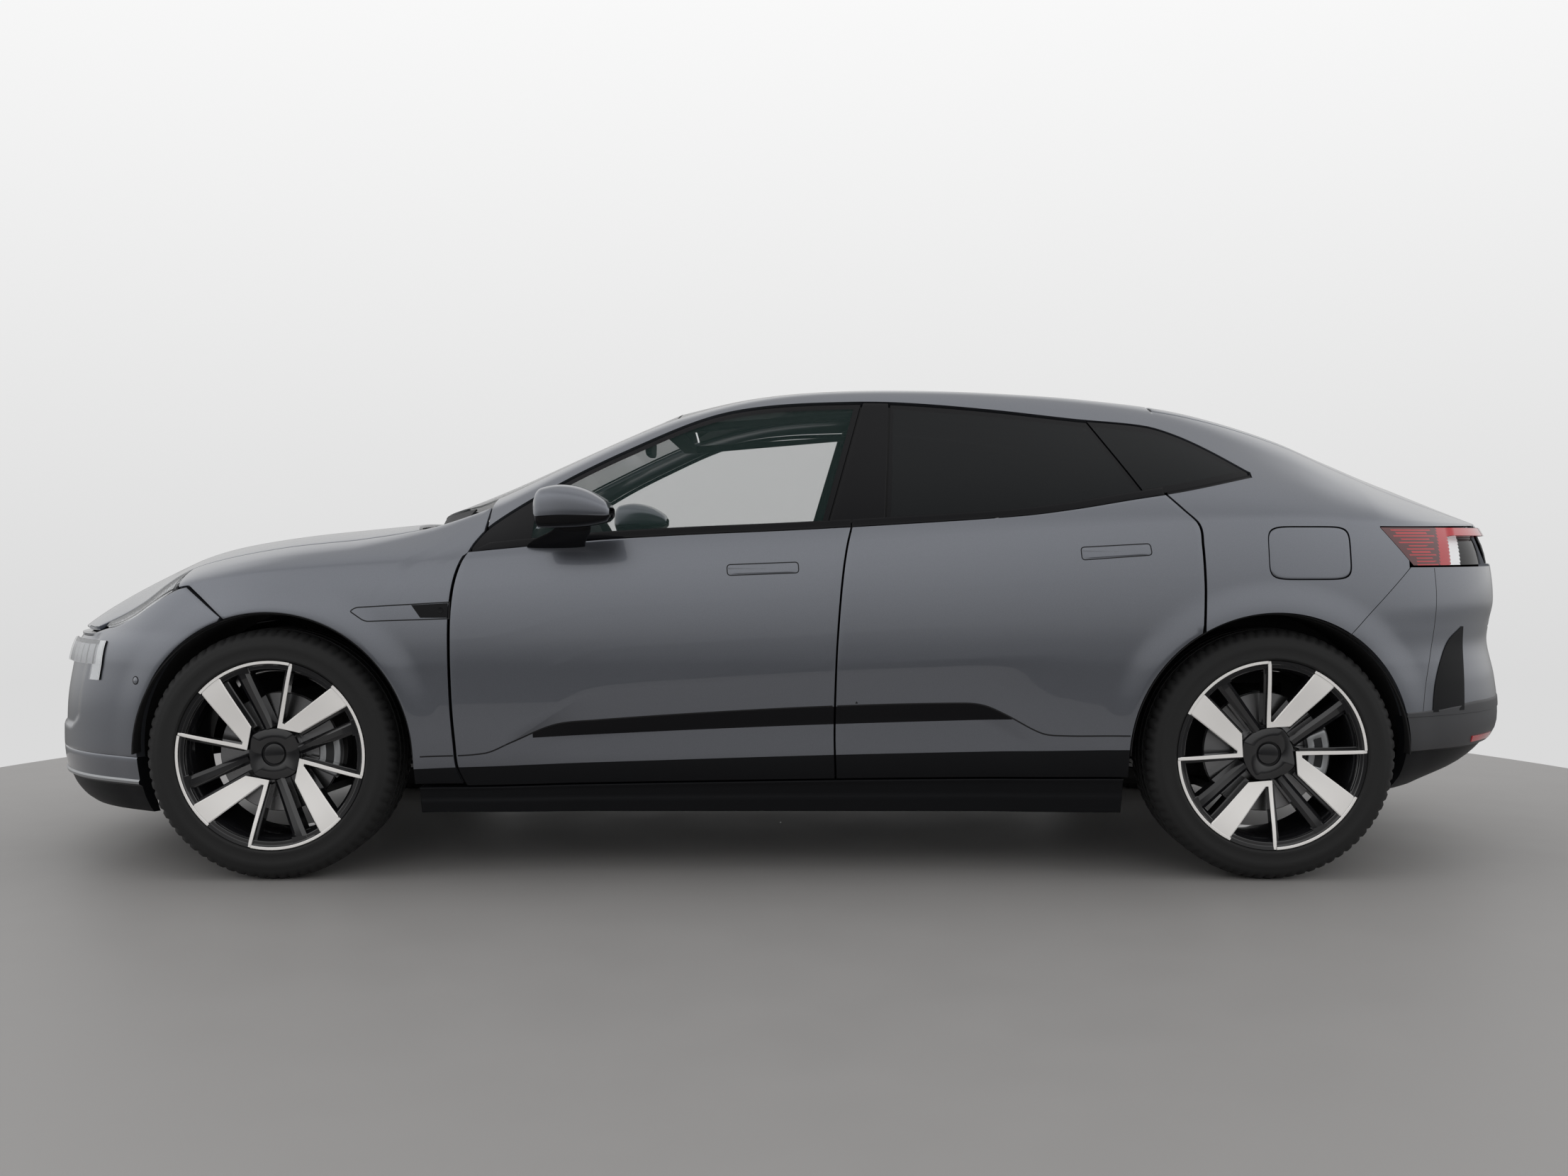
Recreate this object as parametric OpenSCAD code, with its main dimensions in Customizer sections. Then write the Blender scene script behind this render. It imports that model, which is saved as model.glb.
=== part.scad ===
// Coupe sport utility vehicle: five seats, four frameless side doors, a glass roof and a closed tailgate.
// X is forward, Y is to the car's left, Z is up; the origin is on the ground under the middle of the car.
// Body lines are drawn at the drawing size below, and place() carries each drawn point to the driving dimensions.

/* [Stance] */
// Distance between the axles
wheelbase = 2999; // [2900:1:3100]
// Nose to front axle
front_overhang = 895; // [860:1:940]
// Rear axle to tail
rear_overhang = 946; // [900:1:990]
// Distance between the left and right wheel planes
track = 1690; // [1676:1:1700]
// Outer diameter of a tyre
tyre_d = 756; // [736:1:770]
// Width of a tyre
tyre_w = 255; // [235:1:265]
// Diameter of a wheel rim over its flanges
rim_d = 568; // [540:1:580]

/* [Body] */
// Width over the rear haunches, without the mirrors
body_w = 2008; // [1990:1:2060]
// Height of the roof above the ground
body_h = 1538; // [1500:1:1580]
// Shut gap round every panel that opens
panel_gap = 5; // [5:0.5:7]
// Room between a tyre and its wheel arch
arch_room = 52; // [48:1:60]
// Thickness of a side door
door_t = 110; // [95:1:115]
// Thickness of outer body panels
skin_t = 16; // [12:1:18]
// Thickness of window glass
glass_t = 5; // [4:0.5:6]

/* [Hinges] */
// Radius of a door hinge pin
pin_r = 8; // [6:0.5:9]
// Clearance between a pin and its bore
pin_fit = 0.3; // [0.2:0.05:0.4]
// Diameter of the threaded towing eye socket
tow_d = 22; // [18:1:24]

/* [Hidden] */
$fn = 48;

paint = "#6a6d75";
black = "#17181a";
satin = "#3a3b3e";
glass = "#2c3335";
metal = "#a9abae";

// Drawing size: axle stations, half width, roof and axle heights that the lines below are drawn for
draw_f = 1525;
draw_r = -1474;
draw_axle = 378;
draw_half = 1004;
draw_top = 1538;
half_len = (front_overhang + wheelbase + rear_overhang) / 2;
axle_f = half_len - front_overhang;
axle_r = rear_overhang - half_len;
axle_z = tyre_d / 2;
wheel_y = track / 2;
half_gap = panel_gap / 2;
arch_r = tyre_d / 2 + arch_room;
rise = (body_h - axle_z) / (draw_top - draw_axle);

// A drawn station along the car, held between the axles and the two ends
function along(x) = x > draw_f ? axle_f + (x - draw_f) * front_overhang / 895
    : x < draw_r ? axle_r + (x - draw_r) * rear_overhang / 946
    : axle_r + (x - draw_r) * wheelbase / (draw_f - draw_r);
function across(y) = y * body_w / (2 * draw_half);
function height(z) = z > draw_axle ? axle_z + (z - draw_axle) * rise : axle_z * z / draw_axle;
function place(p) = [along(p.x), across(p.y), height(p.z)];

// Small maths: limits, blends and a smooth curve through knots [[place, value], ...]
function clamp(v, a, b) = min(max(v, a), b);
function mix(a, b, t) = a + (b - a) * t;
function ease(t) = let (c = clamp(t, 0, 1)) c * c * (3 - 2 * c);
function pick(list, t) = let (n = len(list) - 1, s = clamp(t, 0, 1) * n, i = min(floor(s), n - 1))
    mix(list[i], list[i + 1], s - i);
function span(k, x, i = 0) = i >= len(k) - 2 || x < k[i + 1][0] ? i : span(k, x, i + 1);
function lean(k, i) = let (a = max(i - 1, 0), b = min(i + 1, len(k) - 1)) (k[b][1] - k[a][1]) / (k[b][0] - k[a][0]);
function hermite(a, b, p, q, t) = a + t * (p + t * (3 * (b - a) - 2 * p - q + t * (2 * (a - b) + p + q)));
function curve(k, x) = let (c = clamp(x, k[0][0], k[len(k) - 1][0]), i = span(k, c), h = k[i + 1][0] - k[i][0])
    hermite(k[i][1], k[i + 1][1], lean(k, i) * h, lean(k, i + 1) * h, (c - k[i][0]) / h);

// Lines of the body seen from the side: [station, height]
roof_line = [[-2340, 1083], [-2200, 1143], [-2000, 1232], [-1750, 1328], [-1500, 1411], [-1250, 1467],
    [-1000, 1503], [-700, 1528], [-400, 1538], [-100, 1531], [120, 1508], [330, 1463]];
hood_line = [[1000, 1098], [1200, 1081], [1400, 1062], [1600, 1042], [1800, 1014], [1900, 992], [2000, 958],
    [2100, 912], [2200, 858], [2290, 800], [2340, 750]];
shoulder_line = [[-2340, 1075], [-1810, 1070], [-1474, 1082], [-1000, 1066], [-500, 1038], [0, 1010], [500, 985],
    [985, 958], [1300, 943], [1525, 925], [1750, 892], [1830, 874], [1920, 826], [2005, 778], [2092, 752],
    [2340, 742]];
edge_line = [[-2000, 1165], [-1800, 1245], [-1600, 1334], [-1300, 1428], [-1000, 1470], [-700, 1491], [-450, 1498],
    [-200, 1495], [0, 1479], [157, 1449], [335, 1395], [510, 1321], [690, 1233], [870, 1142], [1000, 1092],
    [1100, 1066], [1300, 1040], [1525, 1014], [1750, 968], [1950, 900], [2100, 842]];
belt_line = [[-1440, 1214], [-1227, 1170], [-1058, 1143], [-889, 1115], [-720, 1094], [-381, 1071], [-42, 1052],
    [297, 1037], [551, 1022], [805, 999], [941, 986]];
window_top = [[-1440, 1228], [-1332, 1302], [-1242, 1351], [-1150, 1382], [-931, 1404], [-665, 1435], [-399, 1457],
    [-221, 1460], [45, 1446], [223, 1411], [445, 1318], [667, 1206], [879, 1069], [941, 988]];
crease_line = [[-1031, 439], [-842, 438], [-779, 446], [-673, 501], [-610, 528], [-547, 535], [-164, 526],
    [210, 507], [547, 484], [673, 470], [800, 418], [884, 384], [1087, 374]];
paint_foot = [[-1034, 398], [-165, 379], [549, 356], [1089, 338]];
door_foot = [[-1040, 312], [-170, 303], [947, 283]];
// Shut lines of the doors: [height, station]
front_shut = [[283, 944], [341, 965], [415, 971], [521, 978], [647, 982], [774, 983], [837, 980], [900, 972],
    [953, 957], [991, 937]];
mid_shut = [[303, -168], [436, -164], [647, -168], [795, -177], [921, -189], [1005, -202], [1064, -216]];
rear_shut = [[770, -1257], [858, -1262], [921, -1262], [1005, -1259], [1068, -1252], [1114, -1210], [1165, -1161]];
// Ends of the car seen from the side: [height, station]
nose_line = [[150, 2330], [200, 2385], [250, 2407], [330, 2420], [420, 2418], [520, 2410], [620, 2390], [700, 2368],
    [745, 2343]];
tail_line = [[180, -2060], [243, -2160], [317, -2315], [406, -2404], [473, -2420], [584, -2406], [695, -2378],
    [760, -2385], [828, -2400], [939, -2392], [1010, -2375], [1075, -2340]];
// Half widths: [station, half width] of the widest line and of the roof edge; [height, inset] below the widest line
wide_line = [[-1700, 1000], [-1474, 1004], [-1100, 998], [-600, 991], [0, 989], [985, 989], [1250, 991], [1525, 994],
    [1750, 986]];
edge_half = [[-2000, 610], [-1600, 622], [-1300, 604], [-1000, 600], [-450, 612], [0, 632], [335, 672], [690, 735],
    [870, 772], [1000, 800], [1300, 803], [1525, 792], [1750, 760], [1950, 700], [2100, 610]];
foot_inset = [[150, 100], [190, 88], [270, 58], [350, 27], [430, 13], [520, 5], [650, 0]];
wide_z = 650;
roll_in = 48;
cap_f = 1300;
cap_r = -1250;
cap_n = 2.83;
edge_at = 0.4;
round_line = [[-1900, 0.2], [-1500, 0.1], [-1000, 0.05], [600, 0.05], [1000, 0.08], [1300, 0.2]];
screen_foot = 1180;
screen_head = 330;

// Rounded plan of the ends: 1 along the side, falling to 0 at the nose and the tail
function cap(x, z) = let (t = x > cap_f ? (x - cap_f) / (curve(nose_line, z) - cap_f)
        : x < cap_r ? (cap_r - x) / (cap_r - curve(tail_line, z)) : 0)
    pow(max(0, 1 - pow(min(t, 1), cap_n)), 1 / cap_n);
// Station on the rounded ends at a given half width
function end_x(y, z, front) = let (w = curve(wide_line, front ? 2000 : -2000) - inset(front ? 2000 : -2000, z),
        k = pow(max(0, 1 - pow(min(abs(y) / w, 1), cap_n)), 1 / cap_n))
    front ? mix(cap_f, curve(nose_line, z), k) : mix(cap_r, curve(tail_line, z), k);
function inset(x, z) = z < wide_z ? curve(foot_inset, z)
    : roll_in * pow((z - wide_z) / max(60, curve(shoulder_line, x) - wide_z), 2.5);
// Flare round a wheel arch and the hollow under the door crease
function flare(x, z) = let (r = min(norm([x - draw_f, z - draw_axle]), norm([x - draw_r, z - draw_axle])))
    9 * ease(1 - (r - arch_r) / 100);
function hollow(x, z) = let (d = curve(crease_line, x) - z)
    27 * ease((740 - x) / 150) * ease((x + 790) / 150) * clamp(d / 48, 0, 1) * (1 - ease((d - 48) / 70));
function side_y(x, z) = cap(x, z) * (curve(wide_line, x) - inset(x, z)) + flare(x, z) - hollow(x, z);
function crown(x) = x > screen_head ? mix(1463, 1087, (x - screen_head) / (screen_foot - screen_head))
    : curve(roof_line, x);

// Share of the lid form, which takes over near the nose and the tail
function lid_share(x) = x < 0 ? ease((-1800 - x) / 260) : ease((x - 1830) / 200);
// Section above the shoulder: r is 0 at the shoulder, edge_at at the roof edge and 1 on the centre line
function arc_low(x, h) = let (zs = curve(shoulder_line, x), ze = curve(edge_line, x), d = ze - zs,
        ys = side_y(x, zs), ye = curve(edge_half, x))
    [hermite(ys, ye, -0.36 * d, 1.15 * (ye - ys), h), zs + d * h];
function arc_top(x, q, zt) = let (ze = curve(edge_line, x))
    [curve(edge_half, x) * (1 - q), ze + (zt - ze) * (2 * q - q * q)];
function arc(x, r, zt) = r < edge_at ? arc_low(x, r / edge_at) : arc_top(x, (r - edge_at) / (1 - edge_at), zt);
function rounded(x, r, zt) = let (d = curve(round_line, x), t = (r - edge_at + d) / (2 * d))
    t < 0 || t > 1 ? arc(x, r, zt)
    : (1 - t) * (1 - t) * arc(x, edge_at - d, zt) + 2 * t * (1 - t) * arc(x, edge_at, zt)
        + t * t * arc(x, edge_at + d, zt);
function lid(x, r, zt) = let (zs = curve(shoulder_line, x), ys = side_y(x, zs))
    [ys * (1 - r), zs + (zt - zs) * (1 - pow(1 - r, 2.3))];
function upper(x, r, zt) = let (w = lid_share(x))
    w == 0 ? rounded(x, r, zt) : w == 1 ? lid(x, r, zt) : mix(rounded(x, r, zt), lid(x, r, zt), w);
function up_point(x, r, zt) = let (p = upper(x, r, zt)) [x, p[0], p[1]];
function top_z(x) = x > screen_foot ? curve(hood_line, x) : crown(x);
function r_at_z(x, z, a = 0, b = 0.6, n = 13) = let (m = (a + b) / 2)
    n == 0 ? m : upper(x, m, top_z(x))[1] < z ? r_at_z(x, z, m, b, n - 1) : r_at_z(x, z, a, m, n - 1);
function r_at_y(x, y, a = 0, b = 1, n = 14) = let (m = (a + b) / 2)
    n == 0 ? m : upper(x, m, 1500)[0] > y ? r_at_y(x, y, m, b, n - 1) : r_at_y(x, y, a, m, n - 1);
// Outer surface of the side, below and above the shoulder, for a station and a height
function body_y(x, z) = z <= curve(shoulder_line, x) ? side_y(x, z)
    : upper(x, r_at_z(x, z), top_z(x))[0];
// Point a given depth inside that surface, measured along its slope
function side_point(x, z, depth = 0) = let (y = body_y(x, z), s = (body_y(x, z + 3) - body_y(x, z - 3)) / 6,
        k = depth / sqrt(1 + s * s))
    [x, y - k, z + s * k];

// Point a given depth inside, straight across the car; panes lie on it
function pane_point(x, z, depth) = [x, body_y(x, z) - 1.35 * depth, z];

// Point of a wheel arch by its angle, straight below the axle
function arch_point(ax, a) = a > 180 ? [ax - arch_r, draw_axle - (a - 180) * 8]
    : a < 0 ? [ax + arch_r, draw_axle + a * 8] : [ax + arch_r * cos(a), draw_axle + arch_r * sin(a)];
function arch_front(ax, z) = ax + (z < draw_axle ? arch_r : sqrt(max(0, arch_r * arch_r - pow(z - draw_axle, 2))));
function arch_back(ax, z) = 2 * ax - arch_front(ax, z);

// Closed shell between an outer and an inner grid of points
module slab(nu, nv, outer, inner) {
    n = nv + 1;
    o = (nu + 1) * n;
    points = [for (f = [outer, inner]) for (i = [0 : nu]) for (j = [0 : nv]) place(f(i / nu, j / nv))];
    a = floor(nu / 2) * n + floor(nv / 2);
    inward = cross(points[a + n] - points[a], points[a + 1] - points[a]) * (points[a + o] - points[a]) > 0;
    skin = [for (i = [0 : nu - 1]) for (j = [0 : nv - 1]) let (k = i * n + j)
        each [[k, k + n, k + n + 1], [k, k + n + 1, k + 1]]];
    rim = concat([for (i = [0 : nu - 1]) i * n], [for (j = [0 : nv - 1]) nu * n + j],
        [for (i = [nu : -1 : 1]) i * n + nv], [for (j = [nv : -1 : 1]) j]);
    m = len(rim);
    back = [for (t = skin) [t[0] + o, t[2] + o, t[1] + o]];
    wall = [for (i = [0 : m - 1]) let (p = rim[i], q = rim[(i + 1) % m]) each [[p, p + o, q + o], [p, q + o, q]]];
    faces = concat(skin, back, wall);
    polyhedron(points, inward ? faces : [for (t = faces) [t[0], t[2], t[1]]]);
}
// Box between two drawn corners
module box(x, y, z) {
    a = place([x[0], y[0], z[0]]);
    b = place([x[1], y[1], z[1]]);
    translate(a) cube(b - a);
}
// Joins overlapping shells into one; a size of 0 keeps each axis as drawn
module fused() { resize([0, 0, 0]) union() children(); }
module both_sides() { children(); mirror([0, 1, 0]) children(); }

// Front door, rear door and their glass
hinge_f = [923, 965];
hinge_r = [-229, 967];
hinge_z = [575, 800];
post_y = 836;
door_in = 862;
function front_door_x(u, z) = mix(curve(mid_shut, z) + half_gap, curve(front_shut, z) - half_gap, u);
function rear_door_x(u, z) = mix(max(curve(rear_shut, z), z < 800 ? arch_front(draw_r, z) : -9999) + half_gap,
    curve(mid_shut, z) - half_gap - 0.2, u);
function door_row(x, v) = let (top = curve(belt_line, x), c = curve(crease_line, x), p = curve(paint_foot, x),
        s = curve(shoulder_line, x))
    pick([curve(door_foot, x), p, max(p + 8, c - 48), c, mix(c, s, 0.12), mix(c, s, 0.24), mix(c, s, 0.36),
        mix(c, s, 0.5), mix(c, s, 0.68), mix(c, s, 0.86), s, mix(s, top, 0.5), top], v);
function door_x(rear, u, z) = rear ? rear_door_x(u, z) : front_door_x(u, z);
function door_at(rear, u, v) = let (xa = door_x(rear, u, 600), xb = door_x(rear, u, door_row(xa, v)),
        xc = door_x(rear, u, door_row(xb, v)), x = door_x(rear, u, door_row(xc, v)))
    [x, door_row(x, v)];
module door_skin(rear) {
    difference() {
        slab(8, 12, function(u, v) let (p = door_at(rear, u, v)) side_point(p[0], p[1]),
            function(u, v) let (p = door_at(rear, u, v), y = body_y(p[0], p[1]))
                [p[0], max(min(door_in, y - 45), y - door_t), p[1]]);
        h = rear ? hinge_r : hinge_f;
        for (z = hinge_z) {
            box([h[0] - 16, h[0] + 90], [post_y - 60, h[1] + pin_r + 3], [z - 27, z + 27]);
            translate(place([h[0], h[1], z - 44])) cylinder(r = pin_r + pin_fit, h = 88);
        }
    }
}
module door_hinge(h) {
    for (z = hinge_z) {
        translate(place([h[0], h[1], z - 40])) cylinder(r = pin_r, h = 80);
        box([h[0] - 7, h[0] + 7], [post_y - 10, h[1]], [z - 20, z + 20]);
    }
}
function front_glass_x(u, z) = mix(mix(-147, -244, (z - 1085) / 328), 868, u);
function rear_glass_x(u, z) = mix(mix(-1106, -974, clamp((z - 1150) / 230, 0, 1.1)),
    mix(-322, -347, (z - 1092) / 320), u);
function glass_at(rear, u, v) = let (xa = rear ? rear_glass_x(u, 1200) : front_glass_x(u, 1200),
        za = mix(curve(belt_line, xa) + 0.7, curve(window_top, xa) - panel_gap - 3, v),
        xb = rear ? rear_glass_x(u, za) : front_glass_x(u, za),
        zb = mix(curve(belt_line, xb) + 0.7, curve(window_top, xb) - panel_gap - 3, v),
        x = rear ? rear_glass_x(u, zb) : front_glass_x(u, zb))
    [x, mix(curve(belt_line, x) + 0.7, curve(window_top, x) - panel_gap - 3, v)];
module door_glass(rear) slab(9, 4, function(u, v) let (p = glass_at(rear, u, v)) pane_point(p[0], p[1], 6),
    function(u, v) let (p = glass_at(rear, u, v)) pane_point(p[0], p[1], 6 + glass_t));

module door_fl() color(paint) door_skin(false);
module door_fr() color(paint) mirror([0, 1, 0]) door_skin(false);
module door_rl() color(paint) door_skin(true);
module door_rr() color(paint) mirror([0, 1, 0]) door_skin(true);
module door_glass_fl() color(glass) door_glass(false);
module door_glass_fr() color(glass) mirror([0, 1, 0]) door_glass(false);
module door_glass_rl() color(glass) door_glass(true);
module door_glass_rr() color(glass) mirror([0, 1, 0]) door_glass(true);

// Mirror on its arm, standing on the belt of the front door
module mirror_left() color(paint) {
    hull() {
        translate(place([640, 1075, 1140])) rotate([0, 90, 0]) scale([1, 1.5, 1]) cylinder(d = 62, h = 60);
        translate(place([530, 1060, 1122])) rotate([0, 90, 0]) scale([1, 1.75, 1]) cylinder(d = 100, h = 30);
    }
    hull() {
        translate(place([600, 1020, 1090])) cube([50, 30, 24], center = true);
        translate(place([640, body_y(640, 972) + 6.6, 985])) cube([70, 12, 22], center = true);
    }
}
module mirror_right() mirror([0, 1, 0]) mirror_left();

// Front wing from the wheel arch to the bonnet line, ending in a tongue under the windscreen pillar
wing_z = [290, 305, 320, 335, 350, 390, 430, 510, 600, 690, 780, 840, 900, 940, 975];
wing_outer = concat([for (z = wing_z) [curve(front_shut, z) + half_gap + 3, z]],
    [for (x = [925, 893]) [x, curve(window_top, x) + half_gap]],
    [for (x = [905, 1000, 1060, 1120, 1190, 1260, 1330, 1400, 1460, 1525, 1590, 1660, 1740, 1830])
        [x, upper(x, r_at_y(x, bonnet_y(x) + panel_gap + 0.5), top_z(x))[1]]]);
// Towards the lamp the front edge bends along the bumper and then up behind the lamp
wing_front = [[1658, 787], [1698, 820], [1740, 854], [1783, 893], [1823, 894], [1829, 918], [1830, 950]];
function wing_bend(v) = pick(wing_front, v) - mix(wing_front[0], wing_front[6], v);
function wing_at(u, v) = mix(arch_point(draw_f, mix(191, 72, u)), pick(wing_outer, u), v)
    + ease(6 * u - 5) * wing_bend(v);
module fenders() color(paint) both_sides()
    slab(len(wing_outer) - 1, 6, function(u, v) let (p = wing_at(u, v)) side_point(p[0], p[1]),
        function(u, v) let (p = wing_at(u, v), w = ease(10 * u - 5.2) * ease(2 * v - 1))
            side_point(p[0], p[1]) - 0.675 * skin_t * [0, 1 - w, w]);

// Side frame: rear quarter, roof pillar and the rail above the windows
flap_x = [-1707, -1455];
flap_z = [906, 1070];
quarter_outer = concat([for (z = [790, 900, 1000, 1060]) [curve(rear_shut, z) - half_gap - 2, z]],
    [for (x = [-1300, -1400, -1474, -1600, -1700, -1806]) [x, curve(shoulder_line, x)]],
    [[-1862, 1006], [-1903, 946]]);
function quarter_at(u, v) = mix(arch_point(draw_r, mix(61, 121, u)), pick(quarter_outer, u), v);
function rail_r(x, v, top) = let (low = r_at_z(x, curve(window_top, x) + half_gap),
        m = min(edge_at, mix(low, top, 0.8)))
    pick([low, mix(low, m, 0.6), mix(low, m, 0.9), m, mix(m, top, 0.4), top], v);
tail_side = 600;
roof_end = -1180;
roof_r = edge_at + 0.075;
function gate_r(x) = r_at_y(x, tail_side + panel_gap);
function rail_z(x) = up_point(x, rail_r(x, 0, roof_r), crown(x))[2] - 0.7;
function waist_x(u, z) = u == 0 ? -1458 : mix(-1444, curve(rear_shut, z) - half_gap - 2, (u - 0.125) / 0.875);
function waist_z(x, v) = let (a = curve(shoulder_line, x), b = curve(belt_line, x) - 1)
    pick([a - 7, a + 1, mix(a, b, 0.35), mix(a, b, 0.7), b], v);
function waist_at(u, v) = let (xa = waist_x(u, 1100), xb = waist_x(u, waist_z(xa, v)),
        x = waist_x(u, waist_z(xb, v)))
    [x, waist_z(x, v)];
function waist_point(u, v, depth) = let (p = waist_at(u, v))
    pane_point(p[0], p[1], depth == 0 && (u == 0 || v == 0) ? 4 : depth);
function back_point(u, v) = let (x = mix(-2176, -1442, u))
    v == 0 ? pane_point(x, curve(shoulder_line, x) - 7, 4)
    : up_point(x, mix(0.002, gate_r(x), (v - 0.125) / 0.875), crown(x));
function sunk(p, depth, v) = p - depth * [0, cos(90 * v), sin(90 * v)];
rail_x = concat([-1462], [for (i = [0 : 5]) mix(-1448, roof_end - 1, i / 5)],
    [for (i = [0 : 12]) mix(roof_end, 322, i / 12)], [for (i = [1 : 9]) mix(330, 888, i / 9)]);
function rail_point(u, v) = let (x = pick(rail_x, u), top = x < roof_end ? gate_r(x) : roof_r,
        p = up_point(x, rail_r(x, v, top), crown(x)))
    u == 0 ? sunk(p, 5, v) : p;
module quarter_skin() slab(2 * len(quarter_outer) - 2, 5,
    function(u, v) let (p = quarter_at(u, v)) side_point(p[0], p[1]),
    function(u, v) let (p = quarter_at(u, v)) side_point(p[0], p[1], skin_t));
module side_frame() fused() {
    quarter_skin();
    slab(8, 4, function(u, v) waist_point(u, v, 0), function(u, v) waist_point(u, v, skin_t));
    slab(14, 8, function(u, v) back_point(u, v), function(u, v) sunk(back_point(u, v), skin_t, v));
    slab(len(rail_x) - 1, 5, function(u, v) rail_point(u, v), function(u, v) sunk(rail_point(u, v), 26, v));
}
module flap_hole(grow) {
    a = place([flap_x[0] - grow, 880, flap_z[0] - grow]);
    b = place([flap_x[1] + grow, 1040, flap_z[1] - 8 + grow]);
    translate(a) cube(b - a);
}
module side_frames() color(paint) {
    difference() {
        side_frame();
        flap_hole(half_gap);
    }
    mirror([0, 1, 0]) side_frame();
}
module charge_flap() color(paint) intersection() {
    quarter_skin();
    flap_hole(-half_gap);
}

// Roof glass, windscreen and the fixed panes
function pane_r(s) = 1 - (1 - roof_r - 0.0006) * abs(s);
function wide_point(x, s, r, zt) = let (p = upper(x, r, zt)) [x, sign(s) * p[0], p[1]];
module roof_glass() color(glass) slab(12, 10,
    function(u, v) let (x = mix(roof_end, 322, u), s = 2 * v - 1) wide_point(x, s, pane_r(s), crown(x)),
    function(u, v) let (x = mix(roof_end, 322, u), s = 2 * v - 1)
        wide_point(x, s, pane_r(s), crown(x)) - [0, 0, glass_t + 2]);
function screen_x(u, s) = mix(screen_foot - 235 * s * s, screen_head, u);
function screen_r(s) = 1 - (1 - roof_r - 0.004) * abs(s);
module windscreen() color(glass) slab(8, 10,
    function(u, v) let (s = 2 * v - 1, x = screen_x(u, s)) wide_point(x, s, screen_r(s), crown(x)),
    function(u, v) let (s = 2 * v - 1, x = screen_x(u, s))
        wide_point(x, s, screen_r(s), crown(x)) - [glass_t * 0.4, 0, glass_t]);
function quarter_pane_x(u, z) = mix(-1432, mix(-1106, -974, clamp((z - 1150) / 230, 0, 1.1)) - panel_gap - 1, u);
function quarter_pane_z(x, v) = mix(curve(belt_line, x) + panel_gap + 1, rail_z(x) - 2.7, v);
function quarter_pane_at(u, v) = let (xa = quarter_pane_x(u, 1270), xb = quarter_pane_x(u, quarter_pane_z(xa, v)),
        x = quarter_pane_x(u, quarter_pane_z(xb, v)))
    [x, quarter_pane_z(x, v)];
module quarter_glass() color(glass) both_sides()
    slab(6, 3, function(u, v) let (p = quarter_pane_at(u, v)) pane_point(p[0], p[1], 6),
        function(u, v) let (p = quarter_pane_at(u, v)) pane_point(p[0], p[1], 6 + glass_t));
function cover_at(u, v) = let (z = mix(curve(belt_line, -330) + panel_gap + 1, rail_z(mix(-345, -243, u)), v))
    [mix(rear_glass_x(1, z) + panel_gap + 1, front_glass_x(0, z) - panel_gap - 1, u), z];
module pillar_covers() color(black) both_sides()
    slab(2, 4, function(u, v) let (p = cover_at(u, v)) pane_point(p[0], p[1], 3),
        function(u, v) let (p = cover_at(u, v)) pane_point(p[0], p[1], 11));

// Bonnet and the panel behind it
function bonnet_y(x) = x < 1800 ? curve(edge_half, x) - 4
    : mix(curve(edge_half, 1800) - 4, 690, ease((x - 1800) / 420));
function bonnet_back(s) = 1212 - 100 * s * s;
function bonnet_front(s) = end_x(690 * s, 742, true) - 3;
function bonnet_point(u, s) = let (x = mix(bonnet_back(s), bonnet_front(s), u), y = abs(s) * bonnet_y(x))
    wide_point(x, s, max(0.01, r_at_y(x, y)), curve(hood_line, x));
hood_hinge = [1086, 1046];
hood_lug = 745;
module bonnet() color(paint) {
    difference() {
        union() {
            slab(14, 14, function(u, v) bonnet_point(u, 2 * v - 1),
                function(u, v) bonnet_point(u, (2 * v - 1) * 0.985) - [9 * u * u, 0, 20 - 8 * u]);
            for (y = [-hood_lug, hood_lug])
                box([hood_hinge[0] - 12, 1150], [y - 15, y + 15], [hood_hinge[1] - 14, 1056]);
        }
        for (y = [-hood_lug, hood_lug]) translate(place([hood_hinge[0], y, hood_hinge[1]])) rotate([90, 0, 0])
            cylinder(r = 6 + pin_fit, h = 40, center = true);
    }
}
module cowl_panel() color(black) slab(3, 12,
    function(u, v) let (s = 2 * v - 1, x = mix(screen_foot - 200 * s * s + 12, bonnet_back(s) - panel_gap - 1, u))
        wide_point(x, s, r_at_y(x, 712.5 * abs(s)), curve(hood_line, x)) - [0, 0, 12],
    function(u, v) let (s = 2 * v - 1, x = mix(screen_foot - 200 * s * s + 12, bonnet_back(s) - panel_gap - 1, u))
        wide_point(x, s, r_at_y(x, 712.5 * abs(s)), curve(hood_line, x)) - [0, 0, 20]);

// Bumpers, lower cladding and lamps, wrapped round the ends
function wrap(z, xb, s, front, depth) = let (c = front ? cap_f : cap_r,
        e = curve(front ? nose_line : tail_line, z), k = pow(clamp((xb - c) / (e - c), 0, 1), cap_n / 2),
        a = mix(asin(k), 90, 1 - abs(s)), x = c + (e - c) * pow(sin(a), 2 / cap_n),
        d = depth * pow(sin(a), 2 / cap_n) * (front ? 1 : -1) * (1 - pow(abs(s), 12)))
    [x - d, abs(s) < 0.001 ? 0
        : sign(s) * (cap(x, z) * (curve(wide_line, x) - inset(x, z) - depth) + flare(x, z)), z];
function nose_edge(z) = z > 786 ? mix(1661, 1804, (z - 786) / 100) : arch_front(draw_f, z);
function tail_edge(z) = z > 746 ? mix(-1705, -1913, (z - 746) / 200) : arch_back(draw_r, z);
tail_rows = [492, 560, 630, 690, 746, 790, 840, 890, 940];
function tail_point(u, v, depth) = let (z = pick(tail_rows, v)) wrap(z, tail_edge(z), 2 * u - 1, false, depth);
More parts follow.
